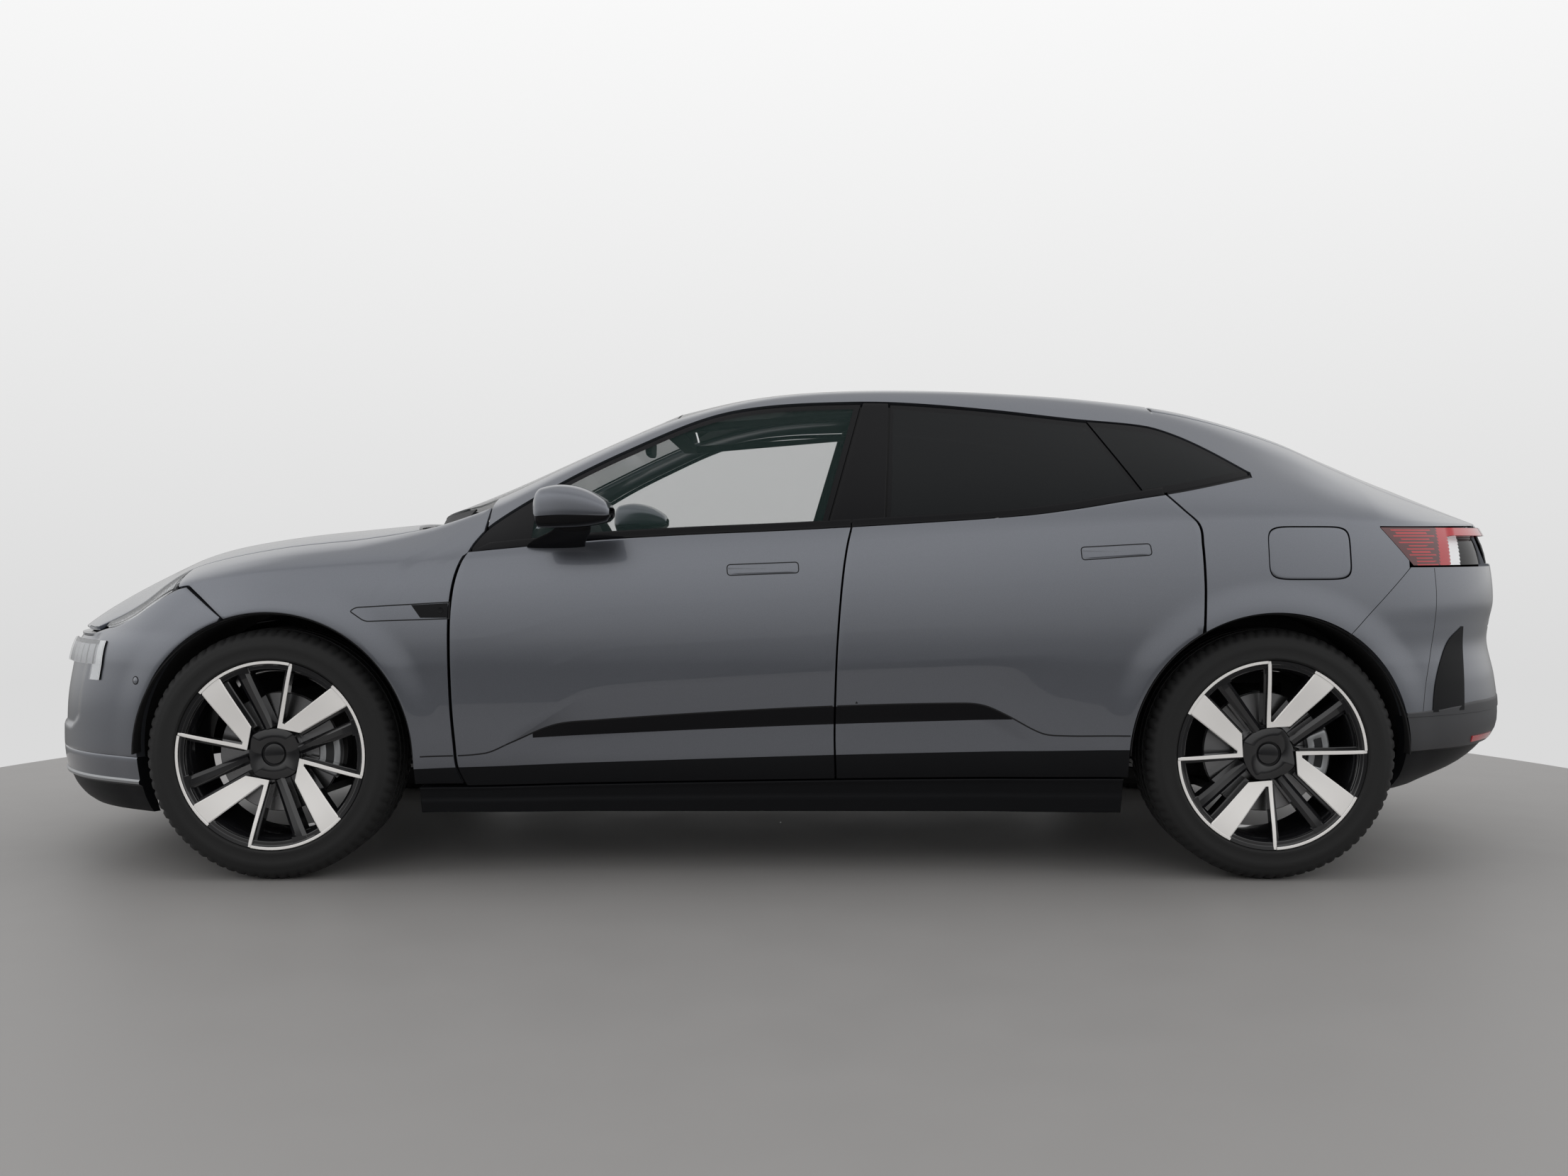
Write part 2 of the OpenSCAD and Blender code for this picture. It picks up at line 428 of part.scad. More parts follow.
module wrapped(nz, z0, z1, front, depth) slab(24, nz,
    function(u, v) let (z = mix(z0, z1, v)) wrap(z, front ? nose_edge(z) : tail_edge(z), 2 * u - 1, front, 0),
    function(u, v) let (z = mix(z0, z1, v)) wrap(z, front ? nose_edge(z) : tail_edge(z), 2 * u - 1, front, depth));
// Towing eye socket behind the front bumper
tow_at = [2120, 420, 560];
// The front bumper rises to the shoulder line beside the lamps
function nose_top(s) = let (x = wrap(738, 1790, s, true, 0)[0])
    curve(shoulder_line, x) - 2.8 - 18 * ease((x - 2090) / 80);
function nose_point(u, v, depth) = let (s = 2 * u - 1, z = mix(362, nose_top(s), v))
    wrap(z, nose_edge(z), s, true, depth);
module front_bumper() color(paint) difference() {
    slab(32, 8, function(u, v) nose_point(u, v, 0), function(u, v) nose_point(u, v, 30));
    translate(place([2440, tow_at[1], tow_at[2]])) rotate([0, -90, 0]) cylinder(d = 2 * tow_d, h = 240);
}
module rear_bumper() color(paint) difference() {
    slab(24, 8, function(u, v) tail_point(u, v, 0), function(u, v) tail_point(u, v, 30));
    box([-2500, -1990], [-tail_side - panel_gap, tail_side + panel_gap], [gate_foot - panel_gap, 1000]);
}
module sill() slab(10, 3,
    function(u, v) let (x = mix(-1030, 1084, u), z = mix(197, curve(door_foot, x) - panel_gap - 1, v)) side_point(x, z),
    function(u, v) let (x = mix(-1030, 1084, u), z = mix(197, curve(door_foot, x) - panel_gap - 1, v)) [x, post_y + 0.4, z]);
module lower_cladding() color(satin) {
    wrapped(3, 178, 361.6, true, 40);
    wrapped(4, 246, 491.6, false, 40);
    both_sides() sill();
}
function blade_point(u, v) = let (x = mix(1836, 2112, u))
    up_point(x, mix(0.012, max(0.05, r_at_y(x, bonnet_y(x) + panel_gap + 2)), v), curve(hood_line, x));
module headlamps() color("#c9ced2") both_sides() {
    slab(8, 4, function(u, v) blade_point(u, v), function(u, v) blade_point(u, v) - [0, 2, 14]);
    slab(6, 3, function(u, v) let (z = mix(592, 712, v)) wrap(z, 2076, mix(1, 0.55, u), true, -8),
        function(u, v) let (z = mix(592, 712, v)) wrap(z, 2076, mix(1, 0.55, u), true, -3));
}
function lamp_edge(z) = mix(-1918, -1812, (z - 946) / 118);
function lamp_point(u, v, depth) = let (z = mix(946, 1061, v))
    wrap(z, mix(lamp_edge(z), end_x(tail_side + panel_gap + 3, z, false), u), 1, false, 0)
        + depth * [mix(0.2, 1, u), u - 1, 0];
module tail_lamps() color("#6d1216") both_sides()
    slab(8, 3, function(u, v) lamp_point(u, v, 0), function(u, v) lamp_point(u, v, 24));

// Tailgate: roof end, sloping back and rear face in one lid
gate_hinge = [-1250, 1408];
gate_lug = 430;
function gate_top(u, s) = let (y = tail_side * s, x = mix(roof_end - 15, end_x(y, 1075, false) + 4, u))
    wide_point(x, s, r_at_y(x, abs(y)), crown(x));
function gate_rear(z, s, in) = [end_x(tail_side * s, z, false) + in, tail_side * s, z];
gate_foot = 748;
gate_z = [1071, 1066, 1064, 948, 946, 900, 840, 780, gate_foot];
gate_in = [0, 0, 14, 14, 0, 0, 0, 0, 0];
gate_rows = 12;
function gate_point(u, s, deep) = let (n = gate_rows + len(gate_z) - 1, i = round(u * n))
    i < gate_rows ? gate_top(i / (gate_rows - 1), s) + deep * [i == gate_rows - 1 ? 30 : 0, 0, -30]
    : let (k = i - gate_rows) gate_rear(gate_z[k], s, gate_in[k] + deep * 34) - deep * [0, 0, k < 1 ? 31 : 0];
module tailgate() color(paint) difference() {
    union() {
        slab(gate_rows + len(gate_z) - 1, 10, function(u, v) gate_point(u, 2 * v - 1, 0),
            function(u, v) gate_point(u, 2 * v - 1, 1));
        for (y = [-gate_lug, gate_lug])
            box([-1290, gate_hinge[0] + 12], [y - 15, y + 15], [gate_hinge[1] - 13, gate_hinge[1] + 24]);
    }
    for (y = [-gate_lug, gate_lug]) translate(place([gate_hinge[0], y, gate_hinge[1]])) rotate([90, 0, 0])
        cylinder(r = 6 + pin_fit, h = 40, center = true);
}
module tailgate_lamp() color("#8c1519") slab(2, 10,
    function(u, v) gate_rear(mix(949, 1063, u), 2 * v - 1, 0),
    function(u, v) gate_rear(mix(949, 1063, u), 2 * v - 1, 13.4));

// Structure behind the panels: posts, sills, rails, cross members, and the pins that the lids turn on
module pin_fork(x, y, z, foot) for (s = [-1, 1]) {
    translate(place([x, s * y, z])) rotate([90, 0, 0]) cylinder(r = 6, h = 62, center = true);
    for (d = [-27, 27]) box([x - 7, x + 7], [s * y + d - 5, s * y + d + 5], [foot, z + 7]);
}
// Station where the roof rail rests on the centre post
tie_x = mix(roof_end, 322, 7 / 12);
tower_z = draw_axle + arch_r - 4.4;
module body_frame() color(paint) {
    both_sides() {
        box([890, 1084], [700, post_y], [330, 950]);
        box([-1035, 1084], [700, post_y], [215, 335]);
        box([-290, -150], [740, post_y], [330, 1030]);
        hull() {
            box([-290, -190], [780, post_y], [1020, 1030]);
            box([-330, -262], [510, 590], [1425, 1435]);
        }
        for (end = [[[330, 380], [1368, 1392]], [[-1275, -1225], [1330, 1352]]]) hull() {
            box([-330, -262], [545, 575], [1425, 1435]);
            box(end[0], [530, 560], end[1]);
        }
        box([tie_x - 8, tie_x + 8], [510, up_point(tie_x, roof_r, 1500)[1] - 0.5],
            [1428, up_point(tie_x, roof_r, crown(tie_x))[2] - 14]);
        box([1030, 1046], [post_y - 5, body_y(1038, 650) - 0.675 * skin_t - 1.3], [642, 658]);
        box([-1900, -1030], [655, 690], [572, 830]);
        for (x = [[-1900, -1586], [-1362, -1030]]) box(x, [655, 690], [330, 574]);
        box([-1335, -1280], [655, post_y], [822, 1130]);
        hull() {
            box([-1335, -1280], [790, 840], [1120, 1130]);
            box([-1275, -1225], [545, 575], [1340, 1352]);
        }
        box([-2205, -1890], [500, 656], [450, 600]);
        box([1080, 2120], [395, 480], [566, 640]);
        box([1080, 1800], [640, 700], [826, 866]);
        box([1430, 1620], [470, 690], [tower_z, 850]);
        box([1430, 1620], [395, 480], [610, 840]);
        door_hinge(hinge_f);
        door_hinge(hinge_r);
    }
    box([1056, 1084], [-705, 705], [330, 985]);
    box([2060, 2120], [-700, 700], [520, 640]);
    box([2040, 2065], [-700, 700], [630, 700]);
    box([2110, curve(nose_line, 592) - 30.8], [-40, 40], [574, 590]);
    box([curve(tail_line, 600) + 35.6, -2225], [-40, 40], [596, 612]);
    box([-2230, -2200], [-560, 560], [450, 720]);
    box([-1275, -1165], [-560, 560], [1330, 1352]);
    box([330, 380], [-560, 560], [1368, 1392]);
    pin_fork(hood_hinge[0], hood_lug, hood_hinge[1], 940);
    pin_fork(gate_hinge[0], gate_lug, gate_hinge[1], 1350);
    box([-1690, -1330], [790, post_y], [910, 1050]);
    box([-1590, -1570], [post_y - 10, body_y(-1580, 960) - skin_t - 2], [935, 960]);
}
// Floor in two levels, and the towing eye socket on the front cross member
module floor_pan() color("#2b2c2e") {
    difference() {
        translate(place(tow_at + [0.3, 0, 0])) rotate([0, 90, 0]) cylinder(d = 2 * tow_d, h = 70);
        translate(place(tow_at - [5, 0, 0])) rotate([0, 90, 0]) cylinder(d = tow_d, h = 120);
    }
    box([-1030, 1055.7], [-699.7, 699.7], [305, 330]);
    box([-2199.7, -1031], [-654.7, 654.7], [606, 640]);
    box([-1060, -1031], [-654.7, 654.7], [329, 607]);
    box([-1061, -1029], [-654.7, 654.7], [306, 330]);
}
module battery_pack() color("#4a4c50") box([-940, 900], [-640, 640], [165, 304.7]);

// Subframes with their arms, the rear uprights and the drive units they carry
king_y = 800;
arm_z = [218, 548];
module arm(x, z, inner) hull() {
    translate([along(x), wheel_y - 45, height(z)]) cylinder(d = 52, h = 24, center = true);
    for (d = [-70, 70]) translate(place([x + d, inner, z])) cube([50, 30, 24], center = true);
}
module subframes() color("#55575a") {
    difference() {
        union() {
            box([1380, 1670], [-390, 390], [200, 460]);
            both_sides() for (z = arm_z) arm(draw_f, z, 385);
            both_sides() box([1440, 1610], [360, 394.7], [200, 580]);
        }
        both_sides() for (z = arm_z) translate([axle_f, wheel_y - 45, height(z)])
            cylinder(r = 11 + pin_fit, h = 60, center = true);
    }
    box([-1640, -1300], [-390, 390], [200, 470]);
    both_sides() {
        for (z = arm_z) arm(draw_r, z, 380);
        translate([axle_r, wheel_y - 45, height(arm_z[0])]) cylinder(d = 60, h = height(arm_z[1]) - height(arm_z[0]));
        spindle(axle_r);
        caliper(axle_r);
        caliper_bracket(axle_r);
        box([-1540, -1410], [360, 392], [200, 605.7]);
    }
}
hub_r = 32;
disc_r = 182;
module spindle(x) translate([x, wheel_y - 45, axle_z]) rotate([-90, 0, 0]) cylinder(r = hub_r - pin_fit, h = 95);
module caliper(x) difference() {
    translate([x, wheel_y, axle_z]) rotate([-90, 0, 0]) rotate([0, 0, 180]) rotate([0, 0, -22])
        rotate_extrude(angle = 44) translate([128, -22]) square([66, 76]);
    translate([x, wheel_y + 4, axle_z]) rotate([-90, 0, 0]) cylinder(r = disc_r + 4, h = 26);
}
module caliper_bracket(x) translate([x - 150, wheel_y - 70, axle_z - 40]) cube([150, 50, 80]);
module knuckle_left() color("#6b6d70") {
    rise_z = height(arm_z[1]) - height(arm_z[0]);
    translate([axle_f, wheel_y - 45, height(arm_z[0]) + 13]) cylinder(d = 58, h = rise_z - 26);
    translate([axle_f, wheel_y - 45, height(arm_z[0]) - 14]) cylinder(r = 11, h = rise_z + 28);
    spindle(axle_f);
    caliper(axle_f);
    caliper_bracket(axle_f);
}
module knuckle_right() mirror([0, 1, 0]) knuckle_left();

// Inner linings of the wheel arches
module liner(x) translate([along(x), 0, axle_z]) rotate([-90, 0, 0]) rotate_extrude(angle = -180)
    translate([arch_r - 9, across(505)]) square([4, across(940) - across(505)]);
module rear_liner(x) translate([along(x), 0, axle_z]) rotate([-90, 0, 0]) rotate_extrude(angle = -180)
    translate([arch_r - 10, across(690.3)]) square([4, across(940) - across(690.3)]);
module arch_liners() color(black) both_sides() { liner(draw_f); rear_liner(draw_r); }

// Wheels: tyre, and rim with its brake disc as a separate solid
module tyre(x, side) translate([x, side * wheel_y, axle_z]) rotate([90, 0, 0]) rotate_extrude($fn = 96) {
    r = tyre_d / 2;
    b = rim_d / 2 - 8;
    h = tyre_w / 2;
    polygon([[b, -h + 14], [b + 30, -h + 3], [b + 52, -h], [r - 34, -h + 4], [r - 12, -h + 16],
        [r, -h + 42], [r, h - 42], [r - 12, h - 16], [r - 34, h - 4], [b + 52, h], [b + 30, h - 3], [b, h - 14]]);
}
blades = 4;
module rim(x, side, turn) translate([x, side * wheel_y, axle_z]) rotate([0, 0, side > 0 ? 0 : 180]) rotate([-90, 0, 0])
    rotate([0, 0, turn]) {
    b = rim_d / 2;
    h = tyre_w / 2 - 2;
    difference() {
        union() {
            rotate_extrude($fn = 96) polygon([[b - 8.3, -h + 11.4], [b, -h + 6], [b, -h + 2], [b - 14, -h + 2],
                [b - 26, -h + 30], [b - 42, -20], [b - 34, h - 24], [b - 26, h - 8], [b, h - 1], [b, h - 6],
                [b - 8.3, h - 12], [b - 18, h - 40], [b - 34, -16], [b - 18, -h + 34]]);
            translate([0, 0, 48]) cylinder(r = 78, h = 44);
            for (i = [0 : blades - 1]) rotate([0, 0, i * 360 / blades]) {
                rotate([0, 0, -2]) translate([60, -9, 70]) cube([b - 92, 15, 28]);
                translate([38, -48, 62]) rotate([0, 0, -48]) translate([0, -14, 0]) cube([b - 88, 58, 34]);
                rotate([0, 0, -68]) translate([60, -11, 66]) cube([b - 92, 22, 22]);
            }
        }
        translate([0, 0, -200]) cylinder(r = hub_r, h = 248 + 18);
    }
    translate([0, 0, 8]) difference() {
        union() {
            cylinder(r = disc_r, h = 18);
            cylinder(r = 80, h = 39.6);
        }
        translate([0, 0, -1]) cylinder(r = hub_r, h = 60);
    }
}
module tyre_fl() color(black) tyre(axle_f, 1);
module tyre_fr() color(black) tyre(axle_f, -1);
module tyre_rl() color(black) tyre(axle_r, 1);
module tyre_rr() color(black) tyre(axle_r, -1);
module rim_fl() color(metal) rim(axle_f, 1, -15.5);
module rim_fr() color(metal) rim(axle_f, -1, -15.5);
module rim_rl() color(metal) rim(axle_r, 1, 0);
module rim_rr() color(metal) rim(axle_r, -1, 0);

// Cabin: two front seats, a rear bench, the dashboard with its console, and the steering wheel
module cushion(x, y, z) hull() for (i = [0, 1]) for (j = [0, 1]) for (k = [0, 1])
    translate(place([x[i] + (i ? -30 : 30), y[j] + (j ? -30 : 30), z[k] + (k ? -30 : 30)])) sphere(r = 30, $fn = 12);
module back_rest(x, y, z, lean) hull() for (j = [0, 1]) for (k = [0, 1]) for (d = [0, 70])
    translate(place([x - lean * k - d, y[j] + (j ? -35 : 35), z[k] + (k ? -35 : 35)])) sphere(r = 35, $fn = 12);
module front_seat() {
    box([-40, 360], [240, 580], [330.3, 440]);
    cushion([-60, 450], [190, 630], [430, 590]);
    back_rest(-84, [195, 625], [530, 1090], 190);
    cushion([-390, -285], [290, 530], [1070, 1260]);
}
module seats() color("#26272a") {
    both_sides() front_seat();
    box([-820, -420], [-560, 560], [330.3, 400]);
    cushion([-880, -370], [-640, 640], [360, 600]);
    back_rest(-900, [-640, 640], [560, 1130], 220);
}
wheel_c = [560, 380, 960];
wheel_tilt = 24;
module dashboard() color("#2e2f32") {
    hull() {
        box([760, 1055.7], [-690, 690], [880, 930]);
        box([700, 760], [-690, 690], [700, 900]);
        box([900, 1055.7], [-690, 690], [650, 700]);
    }
    hull() {
        box([-150, 100], [-120, 120], [520, 640]);
        box([640, 690], [-120, 120], [560, 700]);
        box([-150, 690], [-120, 120], [330.3, 350]);
    }
    translate(place(wheel_c)) rotate([0, wheel_tilt, 0]) rotate([0, 90, 0]) translate([0, 0, 62]) cylinder(d = 76, h = 190);
}
module steering_wheel() color("#1c1d1f") translate(place(wheel_c)) rotate([0, wheel_tilt, 0]) rotate([0, 90, 0]) {
    rotate_extrude() translate([178, 0]) circle(r = 16);
    cylinder(d = 130, h = 60, center = true);
    for (a = [0, 90, 270]) rotate([0, 0, a]) translate([0, -16, -12]) cube([178, 32, 22]);
    translate([0, 0, 29]) cylinder(d = 40, h = 32.6);
}

body_frame();
floor_pan();
battery_pack();
subframes();
fenders();
side_frames();
roof_glass();
windscreen();
cowl_panel();
quarter_glass();
pillar_covers();
front_bumper();
rear_bumper();
lower_cladding();
headlamps();
tail_lamps();
arch_liners();
seats();
dashboard();
bonnet();
tailgate();
tailgate_lamp();
door_fl();
door_fr();
door_rl();
door_rr();
door_glass_fl();
door_glass_fr();
door_glass_rl();
door_glass_rr();
mirror_left();
mirror_right();
charge_flap();
steering_wheel();
knuckle_left();
knuckle_right();
tyre_fl();
tyre_fr();
tyre_rl();
tyre_rr();
rim_fl();
rim_fr();
rim_rl();
rim_rr();
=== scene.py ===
"""Looks of a coupe sport utility vehicle: panels, glass, lamps, wheels and cabin."""
import logging
import math
from dataclasses import dataclass, field
from enum import Enum
from typing import Callable, Optional, Sequence, Union

import bmesh
import bpy
import numpy as np
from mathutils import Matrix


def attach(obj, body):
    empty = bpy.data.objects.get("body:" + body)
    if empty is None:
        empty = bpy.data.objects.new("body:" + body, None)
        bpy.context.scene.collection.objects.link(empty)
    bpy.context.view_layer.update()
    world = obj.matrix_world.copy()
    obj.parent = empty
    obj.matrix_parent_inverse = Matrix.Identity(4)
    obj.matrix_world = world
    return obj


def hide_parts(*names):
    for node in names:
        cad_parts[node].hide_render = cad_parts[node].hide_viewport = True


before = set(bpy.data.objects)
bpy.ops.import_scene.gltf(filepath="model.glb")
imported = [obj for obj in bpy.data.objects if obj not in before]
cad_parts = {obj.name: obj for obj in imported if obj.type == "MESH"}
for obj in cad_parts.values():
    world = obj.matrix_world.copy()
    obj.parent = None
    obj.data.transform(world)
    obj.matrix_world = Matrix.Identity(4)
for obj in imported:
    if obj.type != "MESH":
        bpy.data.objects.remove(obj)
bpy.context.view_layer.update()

LOG = logging.getLogger("scene")
Array = np.ndarray
Number = Union[float, Array]
MM = 0.001
NEAR = 0.001
WELD = 3e-5


def mix(a: Number, b: Number, t: Number) -> Number:
    """Straight blend from a to b."""
    return a + (b - a) * t


def ease(t: Number) -> Array:
    """Smooth step: 3c^2 - 2c^3 of t held between 0 and 1."""
    c = np.clip(t, 0.0, 1.0)
    return c * c * (3 - 2 * c)


def hermite(a: Number, b: Number, p: Number, q: Number, t: Number) -> Array:
    """Cubic from a to b with end slopes p and q."""
    return a + t * (p + t * (3 * (b - a) - 2 * p - q + t * (2 * (a - b) + p + q)))


def pick(rows: Sequence[Number], t: Array) -> Array:
    """Value at t of 0 to 1 along equal straight steps between the rows."""
    table = np.stack(np.broadcast_arrays(*[r + 0 * t for r in rows]))
    s = np.clip(t, 0, 1) * (len(rows) - 1)
    i = np.minimum(s.astype(int), len(rows) - 2)
    low = np.take_along_axis(table, i[None], 0)[0]
    high = np.take_along_axis(table, i[None] + 1, 0)[0]
    return mix(low, high, s - i)


def cloud(x: Number, y: Number, z: Number) -> Array:
    """Points of x, y and z stacked on the last axis."""
    return np.stack(np.broadcast_arrays(x, y, z), -1).astype(float)


def lattice(u: Array, v: Array) -> tuple[Array, Array]:
    """Two-way grid of the parameters u and v."""
    return np.meshgrid(u, v, indexing="ij")


def span(n: int) -> Array:
    """Even parameters from 0 to 1."""
    return np.linspace(0, 1, n)


def patch(nu: int, nv: int) -> tuple[Array, Array]:
    """Two-way grid of even parameters from 0 to 1."""
    return lattice(span(nu), span(nv))


def middle(grid: Array) -> Array:
    """Value at the middle of each face of a grid."""
    return (grid[:-1, :-1] + grid[1:, 1:]) / 2


def sign(s: Array) -> Array:
    """1 on the left of the centre line and on it, -1 on the right."""
    return np.where(s < 0, -1, 1)


def settle(place: Callable[[Array], Array], height: Callable[[Array], Array], first: Array,
           rounds: int = 6) -> tuple[Array, Array]:
    """Stations and heights that depend on each other, found by repeating.

    Args:
        place: Gives the station at a height.
        height: Gives the height at a station.
        first: Height to start from.
        rounds: Number of repeats.

    Returns:
        Stations and heights.
    """
    x = place(first)
    for _ in range(rounds):
        x = place(height(x))
    return x, height(x)


def outward(grid: Array, centre: Sequence[float] = (0.0, 0.0, 600.0)) -> Array:
    """Unit normals of a grid, turned away from the centre.

    Args:
        grid: Points of shape (nu, nv, 3).
        centre: Point that the normals turn away from.

    Returns:
        Normals of the same shape: the cross product of the two grid slopes.
    """
    n = np.cross(np.gradient(grid, axis=0), np.gradient(grid, axis=1))
    n = n / np.maximum(np.linalg.norm(n, axis=-1, keepdims=True), 1e-9)
    return n if np.sum(n * (grid - np.asarray(centre))) >= 0 else -n


def steps(n: int, length: float, radius: float, low: bool = True, high: bool = True,
          keep: Sequence[float] = ()) -> tuple[Array, Array]:
    """Parameters from 0 to 1 that crowd together at rounded ends.

    An end is crowded at distances radius * (1 - cos a) for a of 0, 30, 60 and 90 degrees.

    Args:
        n: Number of steps between the ends.
        length: Length that 0 to 1 stands for.
        radius: Radius of the rounded edge.
        low, high: Whether the first and the last end are rounded.
        keep: Parameters that the result has to hold.

    Returns:
        The parameters, and how far each reaches into its rounding.
    """
    d = radius * (1 - np.cos(np.radians([0.0, 30.0, 60.0, 90.0]))) / length
    a = d if low else np.zeros(1)
    b = 1 - d[::-1] if high else np.ones(1)
    t = np.unique(np.concatenate([a, np.linspace(a[-1], b[0], n + 1), b,
                                  np.asarray(keep, float)]).round(7))
    edge = np.minimum(t * length if low else 9e9 + 0 * t, (1 - t) * length if high else 9e9 + 0 * t)
    return t, np.clip(radius - edge, 0, radius)


def sunk(reach_u: Array, reach_v: Array, radius: float) -> Array:
    """Depth of a rounded border: radius - sqrt(radius^2 - reach^2) for each column and row."""
    reach = np.minimum(reach_u[:, None] ** 2 + reach_v[None, :] ** 2, radius ** 2)
    return radius - np.sqrt(radius ** 2 - reach)


def rolled(grid: Array, reach_u: Array, reach_v: Array, radius: float,
           normal: Optional[Array] = None) -> Array:
    """Grid with its borders rounded off.

    Args:
        grid: Points of the flush surface.
        reach_u, reach_v: How far each column and row reaches into its rounding.
        radius: Radius of the edge.
        normal: Outward normals, worked out where they aren't given.

    Returns:
        The rounded grid.
    """
    sink = sunk(reach_u, reach_v, radius)
    return grid - (outward(grid) if normal is None else normal) * sink[..., None]


class Line:
    """Smooth curve through knots, with slopes taken from the neighbours of each knot."""

    def __init__(self, *flat: float) -> None:
        """Takes the knots as place, value, place, value and so on."""
        k = np.asarray(flat, float).reshape(-1, 2)
        self.x, self.v = k[:, 0], k[:, 1]
        n = np.arange(len(k))
        a, b = np.maximum(n - 1, 0), np.minimum(n + 1, len(k) - 1)
        self.slope = (self.v[b] - self.v[a]) / (self.x[b] - self.x[a])

    def __call__(self, at: Number) -> Array:
        """Value of the curve at a place, held at the two ends."""
        c = np.clip(at, self.x[0], self.x[-1])
        i = np.clip(np.searchsorted(self.x, c, side="right") - 1, 0, len(self.x) - 2)
        h = self.x[i + 1] - self.x[i]
        return hermite(self.v[i], self.v[i + 1], self.slope[i] * h, self.slope[i + 1] * h,
                       (c - self.x[i]) / h)


def along(values: Array) -> Line:
    """Curve through values at even places from 0 to 1."""
    return Line(*np.stack([span(len(values)), values], -1).ravel())


def curve(*flat: float) -> Line:
    """Dataclass field with a curve through knots as its default."""
    return field(default_factory=lambda: Line(*flat))


@dataclass
class Section:
    """Values of the body's cross section at some stations."""
    zs: Array
    ze: Array
    ys: Array
    ye: Array
    turn: Array
    lid: Array


@dataclass
class BodyForm:
    """Master surface of the body, in millimetres: side lines, half widths and rounded ends."""
    roof: Line = curve(
        -2340, 1083, -2200, 1143, -2000, 1232, -1750, 1328, -1500, 1411, -1250, 1467, -1000, 1503,
        -700, 1528, -400, 1538, -100, 1531, 120, 1508, 330, 1463)
    hood: Line = curve(
        1000, 1098, 1200, 1081, 1400, 1062, 1600, 1042, 1800, 1014, 1900, 992, 2000, 958, 2100, 912,
        2200, 858, 2290, 800, 2340, 750)
    shoulder: Line = curve(
        -2340, 1075, -1810, 1070, -1474, 1082, -1000, 1066, -500, 1038, 0, 1010, 500, 985, 985, 958,
        1300, 943, 1525, 925, 1750, 892, 1830, 874, 1920, 826, 2005, 778, 2092, 752, 2340, 742)
    edge: Line = curve(
        -2000, 1165, -1800, 1245, -1600, 1334, -1300, 1428, -1000, 1470, -700, 1491, -450, 1498,
        -200, 1495, 0, 1479, 157, 1449, 335, 1395, 510, 1321, 690, 1233, 870, 1142, 1000, 1092,
        1100, 1066, 1300, 1040, 1525, 1014, 1750, 968, 1950, 900, 2100, 842)
    belt: Line = curve(
        -1440, 1214, -1227, 1170, -1058, 1143, -889, 1115, -720, 1094, -381, 1071, -42, 1052,
        297, 1037, 551, 1022, 805, 999, 941, 986)
    window: Line = curve(
        -1440, 1228, -1332, 1302, -1242, 1351, -1150, 1382, -931, 1404, -665, 1435, -399, 1457,
        -221, 1460, 45, 1446, 223, 1411, 445, 1318, 667, 1206, 879, 1069, 941, 988)
    crease: Line = curve(
        -1031, 439, -842, 438, -779, 446, -673, 501, -610, 528, -547, 535, -164, 526, 210, 507,
        547, 484, 673, 470, 800, 418, 884, 384, 1087, 374)
    facet: Line = curve(
        -960, 675, -172, 629, 275, 597, 459, 583, 577, 562, 668, 509, 747, 456, 865, 390, 1087, 376)
    inlay: Line = curve(-700, 488, -165, 472, 212, 457, 720, 433, 760, 431)
    paint_foot: Line = curve(-1034, 398, -165, 379, 549, 356, 1089, 338)
    door_foot: Line = curve(-1040, 312, -170, 303, 947, 283)
    front_shut: Line = curve(
        283, 944, 341, 965, 415, 971, 521, 978, 647, 982, 774, 983, 837, 980, 900, 972, 953, 957,
        991, 937)
    mid_shut: Line = curve(
        303, -168, 436, -164, 647, -168, 795, -177, 921, -189, 1005, -202, 1064, -216)
    rear_shut: Line = curve(
        770, -1257, 858, -1262, 921, -1262, 1005, -1259, 1068, -1252, 1114, -1210, 1165, -1161)
    nose: Line = curve(
        150, 2330, 200, 2385, 250, 2407, 330, 2420, 420, 2418, 520, 2410, 620, 2390, 700, 2368,
        745, 2343)
    tail: Line = curve(
        180, -2060, 243, -2160, 317, -2315, 406, -2404, 473, -2420, 584, -2406, 695, -2378,
        760, -2385, 828, -2400, 939, -2392, 1010, -2375, 1075, -2340)
    wide: Line = curve(
        -1700, 1000, -1474, 1004, -1100, 998, -600, 991, 0, 989, 985, 989, 1250, 991, 1525, 994,
        1750, 986)
    edge_half: Line = curve(
        -2000, 610, -1600, 622, -1300, 604, -1000, 600, -450, 612, 0, 632, 335, 672, 690, 735,
        870, 772, 1000, 800, 1300, 803, 1525, 792, 1750, 760, 1950, 700, 2100, 610)
    foot: Line = curve(150, 100, 190, 88, 270, 58, 350, 27, 430, 13, 520, 5, 650, 0)
    turn: Line = curve(-1900, 0.2, -1500, 0.1, -1000, 0.05, 600, 0.05, 1000, 0.08, 1300, 0.2)
    wide_z: float = 650.0
    roll_in: float = 48.0
    cap_f: float = 1300.0
    cap_r: float = -1250.0
    power: float = 2.83
    edge_at: float = 0.4
    foot_x: float = 1180.0
    head_x: float = 330.0
    axle_f: float = 1525.0
    axle_r: float = -1474.0
    axle_z: float = 378.0
    arch: float = 430.0
    tail_side: float = 600.0
    roof_end: float = -1180.0
    roof_r: float = 0.475
    head_z: float = 1463.0
    foot_z: float = 1087.0
    flare_out: float = 9.0
    flare_fade: float = 100.0
    end_at: float = 2000.0
    bonnet_gap: float = 4.0
    bonnet_tip: float = 690.0

